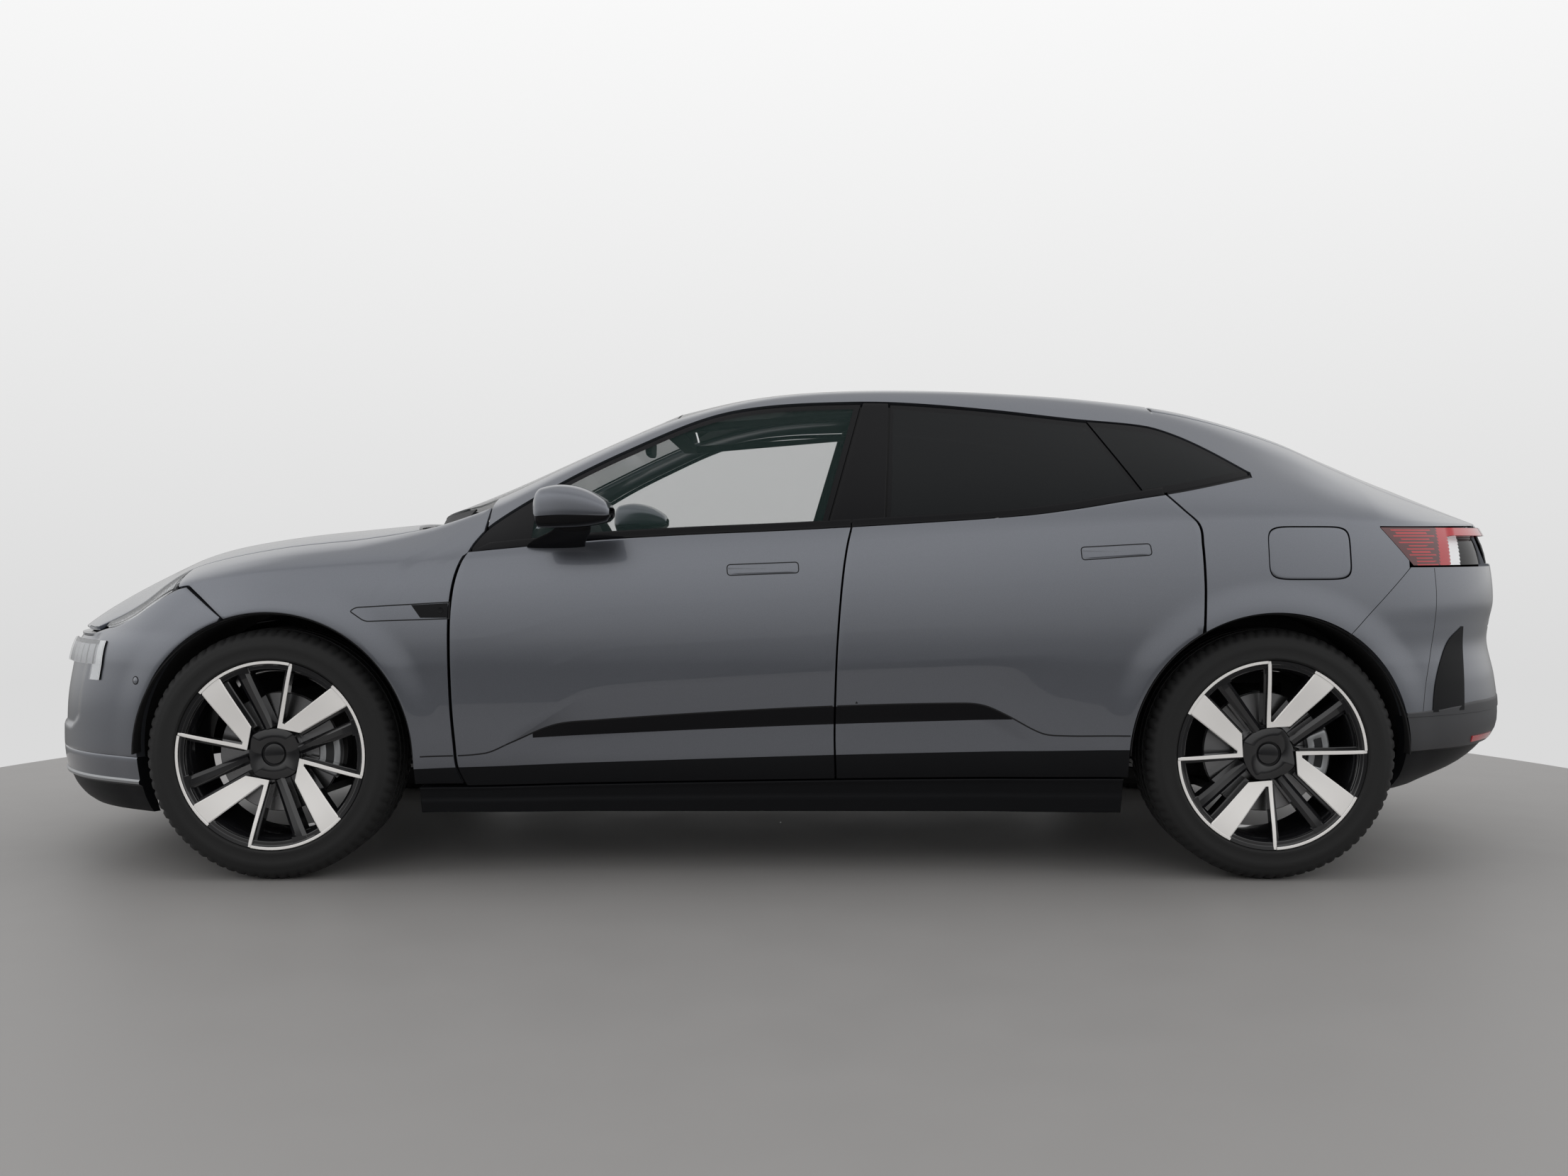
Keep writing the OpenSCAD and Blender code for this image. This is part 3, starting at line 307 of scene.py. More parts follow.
    def cap(self, x: Number, z: Number) -> Array:
        """Rounded plan of the ends: (1 - t^n)^(1/n), 1 along the side and 0 at nose and tail."""
        f = (x - self.cap_f) / (self.nose(z) - self.cap_f)
        r = (self.cap_r - x) / (self.cap_r - self.tail(z))
        t = np.clip(np.maximum(f, r), 0, 1)
        return (1 - t ** self.power) ** (1 / self.power)

    def inset(self, x: Number, z: Number) -> Array:
        """How far the side leans in below and above its widest line."""
        up = np.maximum(z - self.wide_z, 0) / np.maximum(60, self.shoulder(x) - self.wide_z)
        return np.where(z < self.wide_z, self.foot(z), self.roll_in * up ** 2.5)

    def flare(self, x: Number, z: Number) -> Array:
        """Swelling round the wheel arches that fades with the distance from them."""
        r = np.minimum(np.hypot(x - self.axle_f, z - self.axle_z),
                       np.hypot(x - self.axle_r, z - self.axle_z))
        return self.flare_out * ease(1 - (r - self.arch) / self.flare_fade)

    def hollow(self, x: Number, z: Number) -> Array:
        """Hollow of the doors: a leaning facet above the crease and an undercut below it."""
        c = self.crease(x)
        d = c - z
        top = np.maximum(self.facet(x), c + 1)
        ends = ease((x + 960) / 380) * ease((870 - x) / 200)
        facet = 12 * np.clip((top - z) / (top - c), 0, 1) * ends
        cut = ease((740 - x) / 150) * ease((x + 790) / 150)
        back = 1 - 0.3 * ease((d - 48) / 120)
        return facet * back + 10 * cut * np.clip(d / 48, 0, 1) * back

    def side_y(self, x: Number, z: Number) -> Array:
        """Half width of the side below the shoulder."""
        half = self.cap(x, z) * (self.wide(x) - self.inset(x, z))
        return half + self.flare(x, z) - self.hollow(x, z)

    def crown(self, x: Number) -> Array:
        """Height of the centre line over the cabin: the roof, then the slope of the windscreen."""
        slope = mix(self.head_z, self.foot_z, (x - self.head_x) / (self.foot_x - self.head_x))
        return np.where(x > self.head_x, slope, self.roof(x))

    def top_z(self, x: Number) -> Array:
        """Height of the centre line anywhere."""
        return np.where(x > self.foot_x, self.hood(x), self.crown(x))

    def section(self, x: Number) -> Section:
        """Values of the cross section at the stations x."""
        zs = self.shoulder(x)
        lid = np.where(np.asarray(x) < 0, ease((-1800 - x) / 260), ease((x - 1830) / 200))
        return Section(zs, self.edge(x), self.side_y(x, zs), self.edge_half(x), self.turn(x), lid)

    def upper(self, s: Section, r: Number, zt: Number) -> tuple[Array, Array]:
        """Half width and height above the shoulder.

        Up to the roof edge the section is a cubic, then a parabola to the centre line.
        A quadratic curve rounds the corner between them, and near nose and tail a power
        curve takes over.

        Args:
            s: Values of the cross section.
            r: 0 at the shoulder, 0.4 at the roof edge, 1 on the centre line.
            zt: Height of the centre line.

        Returns:
            Half widths and heights.
        """
        e, d = self.edge_at, s.ze - s.zs

        def arc(q: Number) -> tuple[Array, Array]:
            """Section before its corner is rounded."""
            h = np.clip(q / e, 0, 1)
            k = np.clip((q - e) / (1 - e), 0, 1)
            low = hermite(s.ys, s.ye, -0.36 * d, 1.15 * (s.ye - s.ys), h)
            return (np.where(q < e, low, s.ye * (1 - k)),
                    np.where(q < e, s.zs + d * h, s.ze + (zt - s.ze) * (2 * k - k * k)))

        t = (r - e + s.turn) / (2 * s.turn)
        inside = (t >= 0) & (t <= 1)
        a, b, c, plain = arc(e - s.turn), arc(e + 0 * s.turn), arc(e + s.turn), arc(r)
        soft = [(1 - t) ** 2 * a[i] + 2 * t * (1 - t) * b[i] + t * t * c[i] for i in (0, 1)]
        lid = (s.ys * (1 - r), s.zs + (zt - s.zs) * (1 - np.clip(1 - r, 0, 1) ** 2.3))
        y, z = [mix(np.where(inside, soft[i], plain[i]), lid[i], s.lid) for i in (0, 1)]
        return y, z

    def r_at_z(self, x: Number, z: Number) -> Array:
        """Section parameter at a height, by halving."""
        x, z = np.broadcast_arrays(np.asarray(x, float), np.asarray(z, float))
        s, zt, a, b = self.section(x), self.top_z(x), np.zeros(x.shape), np.full(x.shape, 0.6)
        for _ in range(20):
            m = (a + b) / 2
            below = self.upper(s, m, zt)[1] < z
            a, b = np.where(below, m, a), np.where(below, b, m)
        return (a + b) / 2

    def r_at_y(self, x: Number, y: Number) -> Array:
        """Section parameter at a half width, by halving."""
        x, y = np.broadcast_arrays(np.asarray(x, float), np.asarray(y, float))
        s, a, b = self.section(x), np.zeros(x.shape), np.ones(x.shape)
        for _ in range(20):
            m = (a + b) / 2
            out = self.upper(s, m, 1500.0)[0] > y
            a, b = np.where(out, m, a), np.where(out, b, m)
        return (a + b) / 2

    def body_y(self, x: Number, z: Number) -> Array:
        """Half width of the body at a station and a height."""
        x, z = np.broadcast_arrays(np.asarray(x, float), np.asarray(z, float))
        s = self.section(x)
        high = self.upper(s, self.r_at_z(x, z), self.top_z(x))[0]
        return np.where(z <= s.zs, self.side_y(x, z), high)

    def lift(self, x: Number, z: Number) -> Array:
        """Climb along the side: mm below the shoulder, thousandths of the section above it."""
        zs = self.shoulder(x)
        return np.where(z <= zs, z - zs, 1000 * self.r_at_z(x, z))

    def skin(self, x: Number, h: Number) -> Array:
        """Point of the side at a station and a climb."""
        x, h = np.broadcast_arrays(np.asarray(x, float), np.asarray(h, float))
        s = self.section(x)
        z = s.zs + np.minimum(h, 0)
        y, up = self.upper(s, np.maximum(h, 0) / 1000, self.top_z(x))
        return cloud(x, np.where(h <= 0, self.side_y(x, z), y), np.where(h <= 0, z, up))

    def skin_normal(self, x: Number, h: Number) -> Array:
        """Outward normal of the side, from small steps of station and climb."""
        a = self.skin(x + 2.0, h) - self.skin(x - 2.0, h)
        b = self.skin(x, h + 1.0) - self.skin(x, h - 1.0)
        n = np.cross(b, a)
        n = n / np.maximum(np.linalg.norm(n, axis=-1, keepdims=True), 1e-9)
        return n * sign(n[..., 1:2])

    def roof_point(self, x: Number, side: Number, r: Number, zt: Number) -> Array:
        """Point of the upper section on the side that the sign gives."""
        y, z = self.upper(self.section(x), r, zt)
        return cloud(x, np.sign(side) * y, z)

    def arch_point(self, axle: float, angle: Array) -> tuple[Array, Array]:
        """Station and height on a wheel arch: a circle above the axle, straight legs below it."""
        a = np.radians(np.clip(angle, 0, 180))
        drop = np.where(angle > 180, (angle - 180) * 8, np.where(angle < 0, -angle * 8, 0))
        return axle + self.arch * np.cos(a), self.axle_z + self.arch * np.sin(a) - drop

    def arch_reach(self, z: Number) -> Array:
        """Half width of a wheel arch at a height."""
        return np.where(z < self.axle_z, self.arch,
                        np.sqrt(np.maximum(0, self.arch ** 2 - (z - self.axle_z) ** 2)))

    def end_half(self, z: Number, front: bool) -> Array:
        """Half width that the plan curve of the nose or tail starts from."""
        at = self.end_at if front else -self.end_at
        return self.wide(at) - self.inset(at, z)

    def end_x(self, y: Number, z: Number, front: bool) -> Array:
        """Station of the rounded nose or tail at a half width and a height."""
        w = self.end_half(z, front)
        k = (1 - np.clip(np.abs(y) / w, 0, 1) ** self.power) ** (1 / self.power)
        return mix(self.cap_f, self.nose(z), k) if front else mix(self.cap_r, self.tail(z), k)

    def edge_angle(self, z: Number, xb: Number, front: bool) -> Array:
        """Angle round an end at which its wrapped strip starts."""
        c, e = (self.cap_f, self.nose(z)) if front else (self.cap_r, self.tail(z))
        return np.arcsin(np.clip((xb - c) / (e - c), 0, 1) ** (self.power / 2))

    def side_angle(self, y: float, z: Number, front: bool) -> Array:
        """Angle round an end at a half width."""
        w = self.end_half(z, front)
        return np.arcsin(np.sqrt(np.clip(1 - (y / w) ** self.power, 0, 1)))

    def wrap(self, z: Number, angle: Number, side: Number, front: bool,
             depth: Number = 0.0) -> Array:
        """Point round the nose or tail: station c + (e - c) sin(a)^(2/n) on the plan curve.

        Args:
            z: Height.
            angle: Angle round the end, 90 degrees on the centre line.
            side: Sign of the side.
            front: Whether it is the nose.
            depth: How far inside the surface the point lies.

        Returns:
            Points.
        """
        c, e = (self.cap_f, self.nose(z)) if front else (self.cap_r, self.tail(z))
        k = np.sin(angle) ** (2 / self.power)
        x = c + (e - c) * k
        flare = self.flare(x, z) * (np.cos(angle) > 1e-6)
        y = self.cap(x, z) * (self.wide(x) - self.inset(x, z) - depth) + flare
        return cloud(x - depth * k * (1 if front else -1), np.sign(side) * y, z)

    def shell(self, z: Number, angle: Number, front: bool, out: Number,
              back: Number) -> tuple[Array, Array]:
        """Outer and inner grid of a piece wrapped round the left of one end, at two depths."""
        return self.wrap(z, angle, 1.0, front, out), self.wrap(z, angle, 1.0, front, back)

    def gate_r(self, x: Number) -> Array:
        """Section parameter of the tailgate's edge."""
        return self.r_at_y(x, self.tail_side + 5)

    def bonnet_y(self, x: Number) -> Array:
        """Half width of the bonnet."""
        wide = self.edge_half(1800.0) - self.bonnet_gap
        return np.where(x < 1800, self.edge_half(x) - self.bonnet_gap,
                        mix(wide, self.bonnet_tip, ease((x - 1800) / 420)))

    def nose_edge(self, z: Number) -> Array:
        """Station where the front bumper meets the wing."""
        return np.where(z > 786, mix(1661.0, 1804.0, (z - 786) / 100),
                        self.axle_f + self.arch_reach(z))

    def tail_edge(self, z: Number) -> Array:
        """Station where the rear bumper meets the quarter."""
        return np.where(z > 746, mix(-1705.0, -1913.0, (z - 746) / 200),
                        self.axle_r - self.arch_reach(z))

    @staticmethod
    def bow(at: float, sag: float, s: Array) -> Array:
        """Station of a line across the vehicle that bows back towards the sides: at - sag s^2."""
        return at - sag * s * s

    @staticmethod
    def divider(z: Array) -> Array:
        """Slanting rear edge of the rear doors' panes."""
        return mix(-1106.0, -974.0, np.clip((z - 1150) / 230, 0, 1.1))

    @staticmethod
    def pillar_rear(z: Array) -> Array:
        """Front edge of the rear doors' panes."""
        return mix(-322.0, -347.0, (z - 1092) / 320)

    @staticmethod
    def pillar_front(z: Array) -> Array:
        """Rear edge of the front doors' panes."""
        return mix(-147.0, -244.0, (z - 1085) / 328)


class Grain(Enum):
    """Fine pattern of a finish."""
    SMOOTH = "smooth"
    FLAKE = "flake"
    MOULDED = "moulded"
    TURNED = "turned"
    HIDE = "hide"
    WOVEN = "woven"
    RIBBED = "ribbed"


@dataclass(frozen=True)
class Finish:
    """One finish: colour with slow variation, wandering roughness, a fine pattern in relief."""
    name: str
    colour: tuple[float, float, float]
    rough: tuple[float, float] = (0.4, 0.5)
    metallic: float = 0.0
    grain: Grain = Grain.MOULDED
    scale: float = 700.0
    relief: float = 0.15
    vary: float = 0.10
    coat: float = 0.0
    coat_rough: float = 0.03
    alpha: float = 1.0
    glow: float = 0.0
    sheen: float = 0.0
    ior: float = 1.5
    centre: tuple[float, float, float] = (0.0, 0.0, 0.0)

    def build(self) -> bpy.types.Material:
        """Makes the node material.

        Returns:
            The material: object coordinates feed a slow noise for colour and roughness, and
            the fine pattern of the grain feeds a bump.
        """
        mat = bpy.data.materials.new(self.name)
        mat.use_nodes = True
        tree = mat.node_tree
        bsdf = tree.nodes["Principled BSDF"]
        coord = tree.nodes.new("ShaderNodeTexCoord")
        place = tree.nodes.new("ShaderNodeMapping")
        place.inputs["Location"].default_value = tuple(-c for c in self.centre)
        tree.links.new(coord.outputs["Object"], place.inputs["Vector"])
        spot = place.outputs["Vector"]
        slow = self._noise(tree, spot, 3.5, 4.0)
        fine, tint = self._pattern(tree, spot)
        ramp = tree.nodes.new("ShaderNodeMapRange")
        ramp.inputs["To Min"].default_value, ramp.inputs["To Max"].default_value = self.rough
        tree.links.new(slow, ramp.inputs["Value"])
        tree.links.new(ramp.outputs["Result"], bsdf.inputs["Roughness"])
        blend = tree.nodes.new("ShaderNodeMix")
        blend.data_type = "RGBA"
        dark = tuple(c * (1 - self.vary) for c in self.colour)
        light = tuple(min(1.0, c * (1 + self.vary)) for c in self.colour)
        blend.inputs[6].default_value = (*dark, 1)
        blend.inputs[7].default_value = (*light, 1)
        tree.links.new(tint or slow, blend.inputs[0])
        tree.links.new(blend.outputs[2], bsdf.inputs["Base Color"])
        bump = tree.nodes.new("ShaderNodeBump")
        bump.inputs["Strength"].default_value = self.relief
        bump.inputs["Distance"].default_value = 0.0006
        tree.links.new(fine, bump.inputs["Height"])
        tree.links.new(bump.outputs["Normal"], bsdf.inputs["Normal"])
        for socket, value in (("Metallic", self.metallic), ("Coat Weight", self.coat),
                              ("Alpha", self.alpha), ("Coat Roughness", self.coat_rough),
                              ("Sheen Weight", self.sheen), ("IOR", self.ior)):
            bsdf.inputs[socket].default_value = value
        if self.glow:
            bsdf.inputs["Emission Color"].default_value = (*self.colour, 1)
            bsdf.inputs["Emission Strength"].default_value = self.glow
        mat.diffuse_color = (*self.colour, self.alpha)
        return mat

    @staticmethod
    def _noise(tree: bpy.types.NodeTree, spot: bpy.types.NodeSocket, scale: float,
               detail: float) -> bpy.types.NodeSocket:
        """Noise of a scale, as its factor."""
        noise = tree.nodes.new("ShaderNodeTexNoise")
        noise.inputs["Scale"].default_value = scale
        noise.inputs["Detail"].default_value = detail
        tree.links.new(spot, noise.inputs["Vector"])
        return noise.outputs["Fac"]

    def _pattern(self, tree: bpy.types.NodeTree, spot: bpy.types.NodeSocket
                 ) -> tuple[bpy.types.NodeSocket, Optional[bpy.types.NodeSocket]]:
        """Fine pattern of the grain: its height, and its tint where it has one of its own."""
        if self.grain in (Grain.FLAKE, Grain.HIDE):
            cell = tree.nodes.new("ShaderNodeTexVoronoi")
            cell.inputs["Scale"].default_value = self.scale
            tree.links.new(spot, cell.inputs["Vector"])
            if self.grain is Grain.HIDE:
                return cell.outputs["Distance"], None
            part = tree.nodes.new("ShaderNodeSeparateColor")
            tree.links.new(cell.outputs["Color"], part.inputs["Color"])
            return cell.outputs["Distance"], part.outputs[0]
        if self.grain in (Grain.TURNED, Grain.WOVEN, Grain.RIBBED):
            wave = tree.nodes.new("ShaderNodeTexWave")
            wave.wave_type = "RINGS" if self.grain is Grain.TURNED else "BANDS"
            if self.grain is Grain.TURNED:
                wave.rings_direction = "Y"
            else:
                wave.bands_direction = "DIAGONAL" if self.grain is Grain.WOVEN else "Z"
            wave.inputs["Scale"].default_value = self.scale
            wave.inputs["Distortion"].default_value = 0.4 if self.grain is Grain.TURNED else 0.0
            tree.links.new(spot, wave.inputs["Vector"])
            return wave.outputs["Fac"], None
        return self._noise(tree, spot, self.scale, 2.0), None


class Finishes:
    """Every finish of the vehicle, made once."""

    def __init__(self) -> None:
        """Makes the materials."""
        def make(*values: object, **options: object) -> bpy.types.Material:
            """Material of one finish."""
            return Finish(*values, **options).build()

        self.paint = make("grey_metallic_paint", (0.182, 0.193, 0.219), (0.26, 0.32), 0.85,
                          Grain.FLAKE, 1800, 0.04, 0.10, coat=1.0, coat_rough=0.03)
        self.gloss = make("gloss_black_trim", (0.004, 0.004, 0.005), (0.05, 0.10), 0.0,
                          Grain.SMOOTH, 90, 0.01, 0.2, ior=1.28)
        self.satin = make("satin_black_cladding", (0.005, 0.0053, 0.0064), (0.40, 0.50), 0.0,
                          Grain.MOULDED, 1400, 0.2, ior=1.27)
        self.lip = make("grey_lower_trim", (0.045, 0.046, 0.05), (0.34, 0.44), 0.1, Grain.MOULDED,
                        1400, 0.16)
        self.bright = make("bright_lip_strip", (0.36, 0.37, 0.38), (0.28, 0.36), 0.7, Grain.MOULDED,
                           900, 0.08)
        # Dark for the real shut lines round plates, handles and sensors, and for painted shade laid
        # as dark lines along the door, wing and rear corner creases
        self.seam = make("dark_shut_line_and_crease_shade", (0.004, 0.004, 0.005), (0.6, 0.8), 0.0, Grain.MOULDED,
                         600, 0.1)
        self.clear = make("clear_side_glass", (0.03, 0.062, 0.057), (0.0, 0.02), 0.0, Grain.SMOOTH,
                          3, 0.0, 0.1, alpha=0.15, ior=1.42)
        self.dark = make("dark_rear_glass", (0.006, 0.007, 0.008), (0.0, 0.02), 0.0, Grain.SMOOTH,
                         3, 0.0, 0.1, alpha=0.92, ior=1.3)
        self.screen = make("windscreen_glass", (0.02, 0.032, 0.03), (0.0, 0.02), 0.0, Grain.SMOOTH,
                           3, 0.0, 0.1, alpha=0.45)
        self.lens = make("clear_lamp_lens", (0.62, 0.64, 0.66), (0.02, 0.05), 0.0, Grain.SMOOTH, 40,
                         0.01, 0.05, alpha=0.28, coat=1.0)
        self.reflector = make("lamp_reflector", (0.62, 0.63, 0.65), (0.12, 0.2), 0.9, Grain.RIBBED,
                              90, 0.3)
        self.light = make("white_light_guide", (0.86, 0.87, 0.88), (0.2, 0.3), 0.0, Grain.SMOOTH,
                          60, 0.02, 0.05, glow=0.12)
        # Glows as a lit lamp; on the rear reflectors this glow is painted light
        self.red = make("red_lamp_lens", (0.42, 0.010, 0.018), (0.04, 0.08), 0.0, Grain.RIBBED, 50,
                        0.05, 0.12, coat=1.0, glow=0.10)
        self.dark_red = make("dark_red_lamp_lens", (0.085, 0.004, 0.007), (0.04, 0.08), 0.0,
                             Grain.RIBBED, 50, 0.05, 0.12, coat=1.0)
        self.steel = make("structure_steel", (0.035, 0.036, 0.038), (0.45, 0.6), 0.5, Grain.MOULDED,
                          500, 0.2)
        self.disc = make("brake_disc", (0.30, 0.30, 0.305), (0.22, 0.34), 1.0, Grain.MOULDED, 300,
                         0.15)
        self.caliper = make("brake_caliper", (0.40, 0.41, 0.42), (0.3, 0.4), 0.8, Grain.MOULDED,
                            500, 0.2)
        self.alloy: dict[float, bpy.types.Material] = {}
        for x, name in ((1.525, "front"), (-1.474, "rear")):
            self.alloy[x] = make("machined_face_" + name, (0.92, 0.90, 0.875), (0.34, 0.42), 0.25,
                                 Grain.TURNED, 220, 0.08, 0.05, centre=(x, 0, 0.378))
        self.wheel = make("gloss_black_wheel", (0.008, 0.008, 0.009), (0.10, 0.18), 0.0,
                          Grain.SMOOTH, 120, 0.02, 0.2, coat=0.8)
        self.rubber = make("tyre_rubber", (0.008, 0.008, 0.0082), (0.62, 0.78), 0.0, Grain.MOULDED,
                           900, 0.25, 0.25)
        self.leather = make("seat_leather", (0.022, 0.023, 0.026), (0.42, 0.55), 0.0, Grain.HIDE,
                            700, 0.35, 0.15)
        self.cloth = make("seat_insert_cloth", (0.05, 0.052, 0.057), (0.75, 0.9), 0.0, Grain.WOVEN,
                          260, 0.5, 0.15, sheen=0.3)
        self.trim = make("cabin_trim", (0.018, 0.0185, 0.02), (0.5, 0.62), 0.0, Grain.HIDE, 900,
                         0.3, 0.15)
        self.display = make("cabin_display", (0.005, 0.006, 0.008), (0.05, 0.09), 0.0, Grain.SMOOTH,
                            20, 0.01, coat=1.0)
        self.mirror = make("mirror_glass", (0.7, 0.72, 0.74), (0.02, 0.04), 1.0, Grain.SMOOTH, 5,
                           0.0, 0.03)
        self.plate = make("blank_plate", (0.62, 0.62, 0.60), (0.35, 0.45), 0.0, Grain.MOULDED, 500,
                          0.06, 0.04)
        self.felt = make("arch_felt", (0.008, 0.008, 0.0085), (0.85, 0.95), 0.0, Grain.MOULDED, 260,
                         0.6, 0.3)


class Piece:
    """Mesh in the making: grids of points in millimetres, each face with a finish."""

    def __init__(self, name: str, body: str, slot: str, finishes: Sequence[bpy.types.Material],
                 stands_for: Sequence[str] = (), sharp: float = 42.0) -> None:
        """Starts a piece.

        Args:
            name: Name of the piece.
            body: Body that it moves with.
            slot: Material slot of the record; not used.
            finishes: Materials by face index.
            stands_for: Nodes of the frame that it takes the place of.
            sharp: Angle above which an edge stays sharp.
        """
        self.name, self.body, self.slot, self.finishes = name, body, slot, list(finishes)
        self.stands_for, self.sharp = list(stands_for), sharp
        self.points: list[Array] = []
        self.quads: list[Array] = []
        self.marks: list[Array] = []
        self.count = 0

    def sheet(self, grid: Array, finish: Union[int, Array] = 0) -> None:
        """Adds the quads of one grid.

        Args:
            grid: Points of shape (nu, nv, 3).
            finish: One finish, or one for each face; true and false stand for 1 and 0.
        """
        nu, nv = grid.shape[:2]
        k = self.count + np.arange(nu * nv).reshape(nu, nv)
        corners = np.stack([k[:-1, :-1], k[1:, :-1], k[1:, 1:], k[:-1, 1:]], -1)
        self.quads.append(corners.reshape(-1, 4))
        self.points.append(grid.reshape(-1, 3))
        self.marks.append(np.broadcast_to(finish, (nu - 1, nv - 1)).reshape(-1))
        self.count += nu * nv

    def slab(self, outer: Array, inner: Array, finish: Union[int, Array] = 0,
             back: Optional[int] = None, walls: str = "abcd") -> None:
        """Adds a shell between two grids.

        Args:
            outer, inner: Grids of the same shape.
            finish: Finish of the outer grid.
            back: Finish of the inner grid and the walls.
            walls: Which borders get a wall: a first row, b last row, c first column, d last column.
        """
        behind = back if back is not None else (finish if isinstance(finish, int) else 0)
        self.sheet(outer, finish)
        self.sheet(inner, behind)
        for key, a, b in (("a", outer[0], inner[0]), ("b", outer[-1], inner[-1]),
                          ("c", outer[:, 0], inner[:, 0]), ("d", outer[:, -1], inner[:, -1])):
            if key in walls:
                self.sheet(np.stack([a, b]), behind)

    def tube(self, grid: Array, finish: int = 0) -> None:
        """Adds a grid of rings, closed at its first and last ring."""
        self.sheet(grid, finish)
        for end in (grid[0], grid[-1]):
            self.sheet(np.stack([end, mix(end.mean(0), end, NEAR)]), finish)

    def mirror(self) -> "Piece":
        """Adds the other side of everything so far."""
        n, flip = self.count, np.array([1.0, -1.0, 1.0])
        self.points += [p * flip for p in self.points]
        self.quads += [q + n for q in self.quads]
        self.marks += list(self.marks)
        self.count = 2 * n
        return self

    def turned(self, side: int) -> "Piece":
        """Moves everything so far to the side of the sign."""
        self.points = [p * np.array([1.0, float(side), 1.0]) for p in self.points]
        return self

    def make(self) -> bpy.types.Object:
        """Builds the object, welds it, turns its faces outwards and lets it ride.

        Returns:
            The finished object.
        """
        points, quads = np.concatenate(self.points) * MM, np.concatenate(self.quads)
        mesh = bpy.data.meshes.new(self.name)
        mesh.vertices.add(len(points))
        mesh.vertices.foreach_set("co", points.ravel())
        mesh.loops.add(quads.size)
        mesh.loops.foreach_set("vertex_index", quads.ravel().astype(np.int32))
        mesh.polygons.add(len(quads))
        mesh.polygons.foreach_set("loop_start", np.arange(0, quads.size, 4, dtype=np.int32))
        mesh.polygons.foreach_set("material_index", np.concatenate(self.marks).astype(np.int32))
        mesh.update(calc_edges=True)
        work = bmesh.new()
        work.from_mesh(mesh)
        bmesh.ops.remove_doubles(work, verts=work.verts, dist=WELD)
        bmesh.ops.recalc_face_normals(work, faces=work.faces)
        work.to_mesh(mesh)
        work.free()
        mesh.polygons.foreach_set("use_smooth", np.ones(len(mesh.polygons), dtype=bool))
        mesh.set_sharp_from_angle(angle=math.radians(self.sharp))
        for finish in self.finishes:
            mesh.materials.append(finish)
        obj = bpy.data.objects.new(self.name, mesh)
        bpy.context.scene.collection.objects.link(obj)
        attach(obj, self.body)
        if self.stands_for:
            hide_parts(*self.stands_for)
        LOG.info("%s: %d faces on %s", self.name, len(mesh.polygons), self.body)
        return obj


@dataclass
class Assembly:
    """Sub-assembly: takes the body's form and the finishes, and builds its own pieces."""
    form: BodyForm
    look: Finishes

    def build(self) -> None:
        """Builds every piece."""
        raise NotImplementedError


@dataclass
class FrontWings(Assembly):
    """Front wings from wheel arch to bonnet line, with the grooved plate ahead of the door."""
    thick: float = 10.0
    radius: float = 2.5
    gap: float = 5.5
    black: float = 0.0504
    corner: float = 0.5
    tip: float = 0.52
    turn: float = 0.58
    corner_z: float = 975.0
    lamp_x: float = 1830.0
    bend: tuple[tuple[float, float], ...] = ((1658.0, 787.0), (1698, 819), (1740, 851), (1785, 884),
                                             (1824, 880), (1829, 916), (1830, 950))

    def border(self, u: Array) -> tuple[Array, Array]:
        """Outer border: up the door's edge, round the tongue, forward along the bonnet.

        Args:
            u: 0 at the sill, 1 at the lamp.

        Returns:
            Stations and climbs.
        """
        f = self.form
        z = np.interp(u, [0, self.black, self.corner], [290.0, 342.0, self.corner_z])
        top = np.interp(u, [self.turn, 1.0], [905.0, self.lamp_x])
        tip = np.interp(u, [self.corner, self.tip, self.turn],
                        [f.front_shut(self.corner_z) + self.gap, 925.0, 893.0])
        x = np.where(u <= self.corner, f.front_shut(z) + self.gap,
                     np.where(u <= self.turn, tip, top))
        door = f.lift(x, z)
        tongue = f.lift(x, f.window(x) + 2.5)
        bonnet = 1000 * f.r_at_y(x, f.bonnet_y(x) + self.gap)
        share = np.clip((u - self.corner) / 0.02, 0, 1)
        h = np.where(u <= self.tip, mix(door, tongue, share), tongue)
        late = ease((u - 0.575) / 0.005)
        return x, mix(h, bonnet, late)

    def build(self) -> None:
        """Wings on both sides; below the foot line of the paint they are black."""
        f = self.form
        u, ru = steps(100, 2400, self.radius, keep=(self.black, self.corner, self.tip, self.turn))
        v, rv = steps(32, 500, self.radius)
        U, V = lattice(u, v)
        ax, az = f.arch_point(f.axle_f, mix(191.0, 72.0, U))
        bx, bh = self.border(U)
        x, h = mix(ax, bx, V), mix(f.lift(ax, az), bh, V)
        late, path = ease(6 * U - 5), np.array(self.bend).T
        climb = np.append(f.lift(*path)[:-1], bh[-1, -1])
        x = x + late * (pick(list(path[0]), V) - mix(path[0][0], path[0][-1], V))
        h = h + late * (pick(list(climb), V) - mix(climb[0], climb[-1], V))
        grid, normal = f.skin(x, h), f.skin_normal(x, h)
        outer = rolled(grid, ru, rv, self.radius, normal)
        inner = grid - normal * self.thick
        mark = np.where(U[:-1, :-1] < self.black - 1e-4, 1, 0)
        wing = Piece("front_wings", "body", "paint", (self.look.paint, self.look.satin),
                     ["fenders"])
        wing.slab(outer, inner, mark)
        wing.mirror().make()
        Trim(f, self.look).wing_plate()


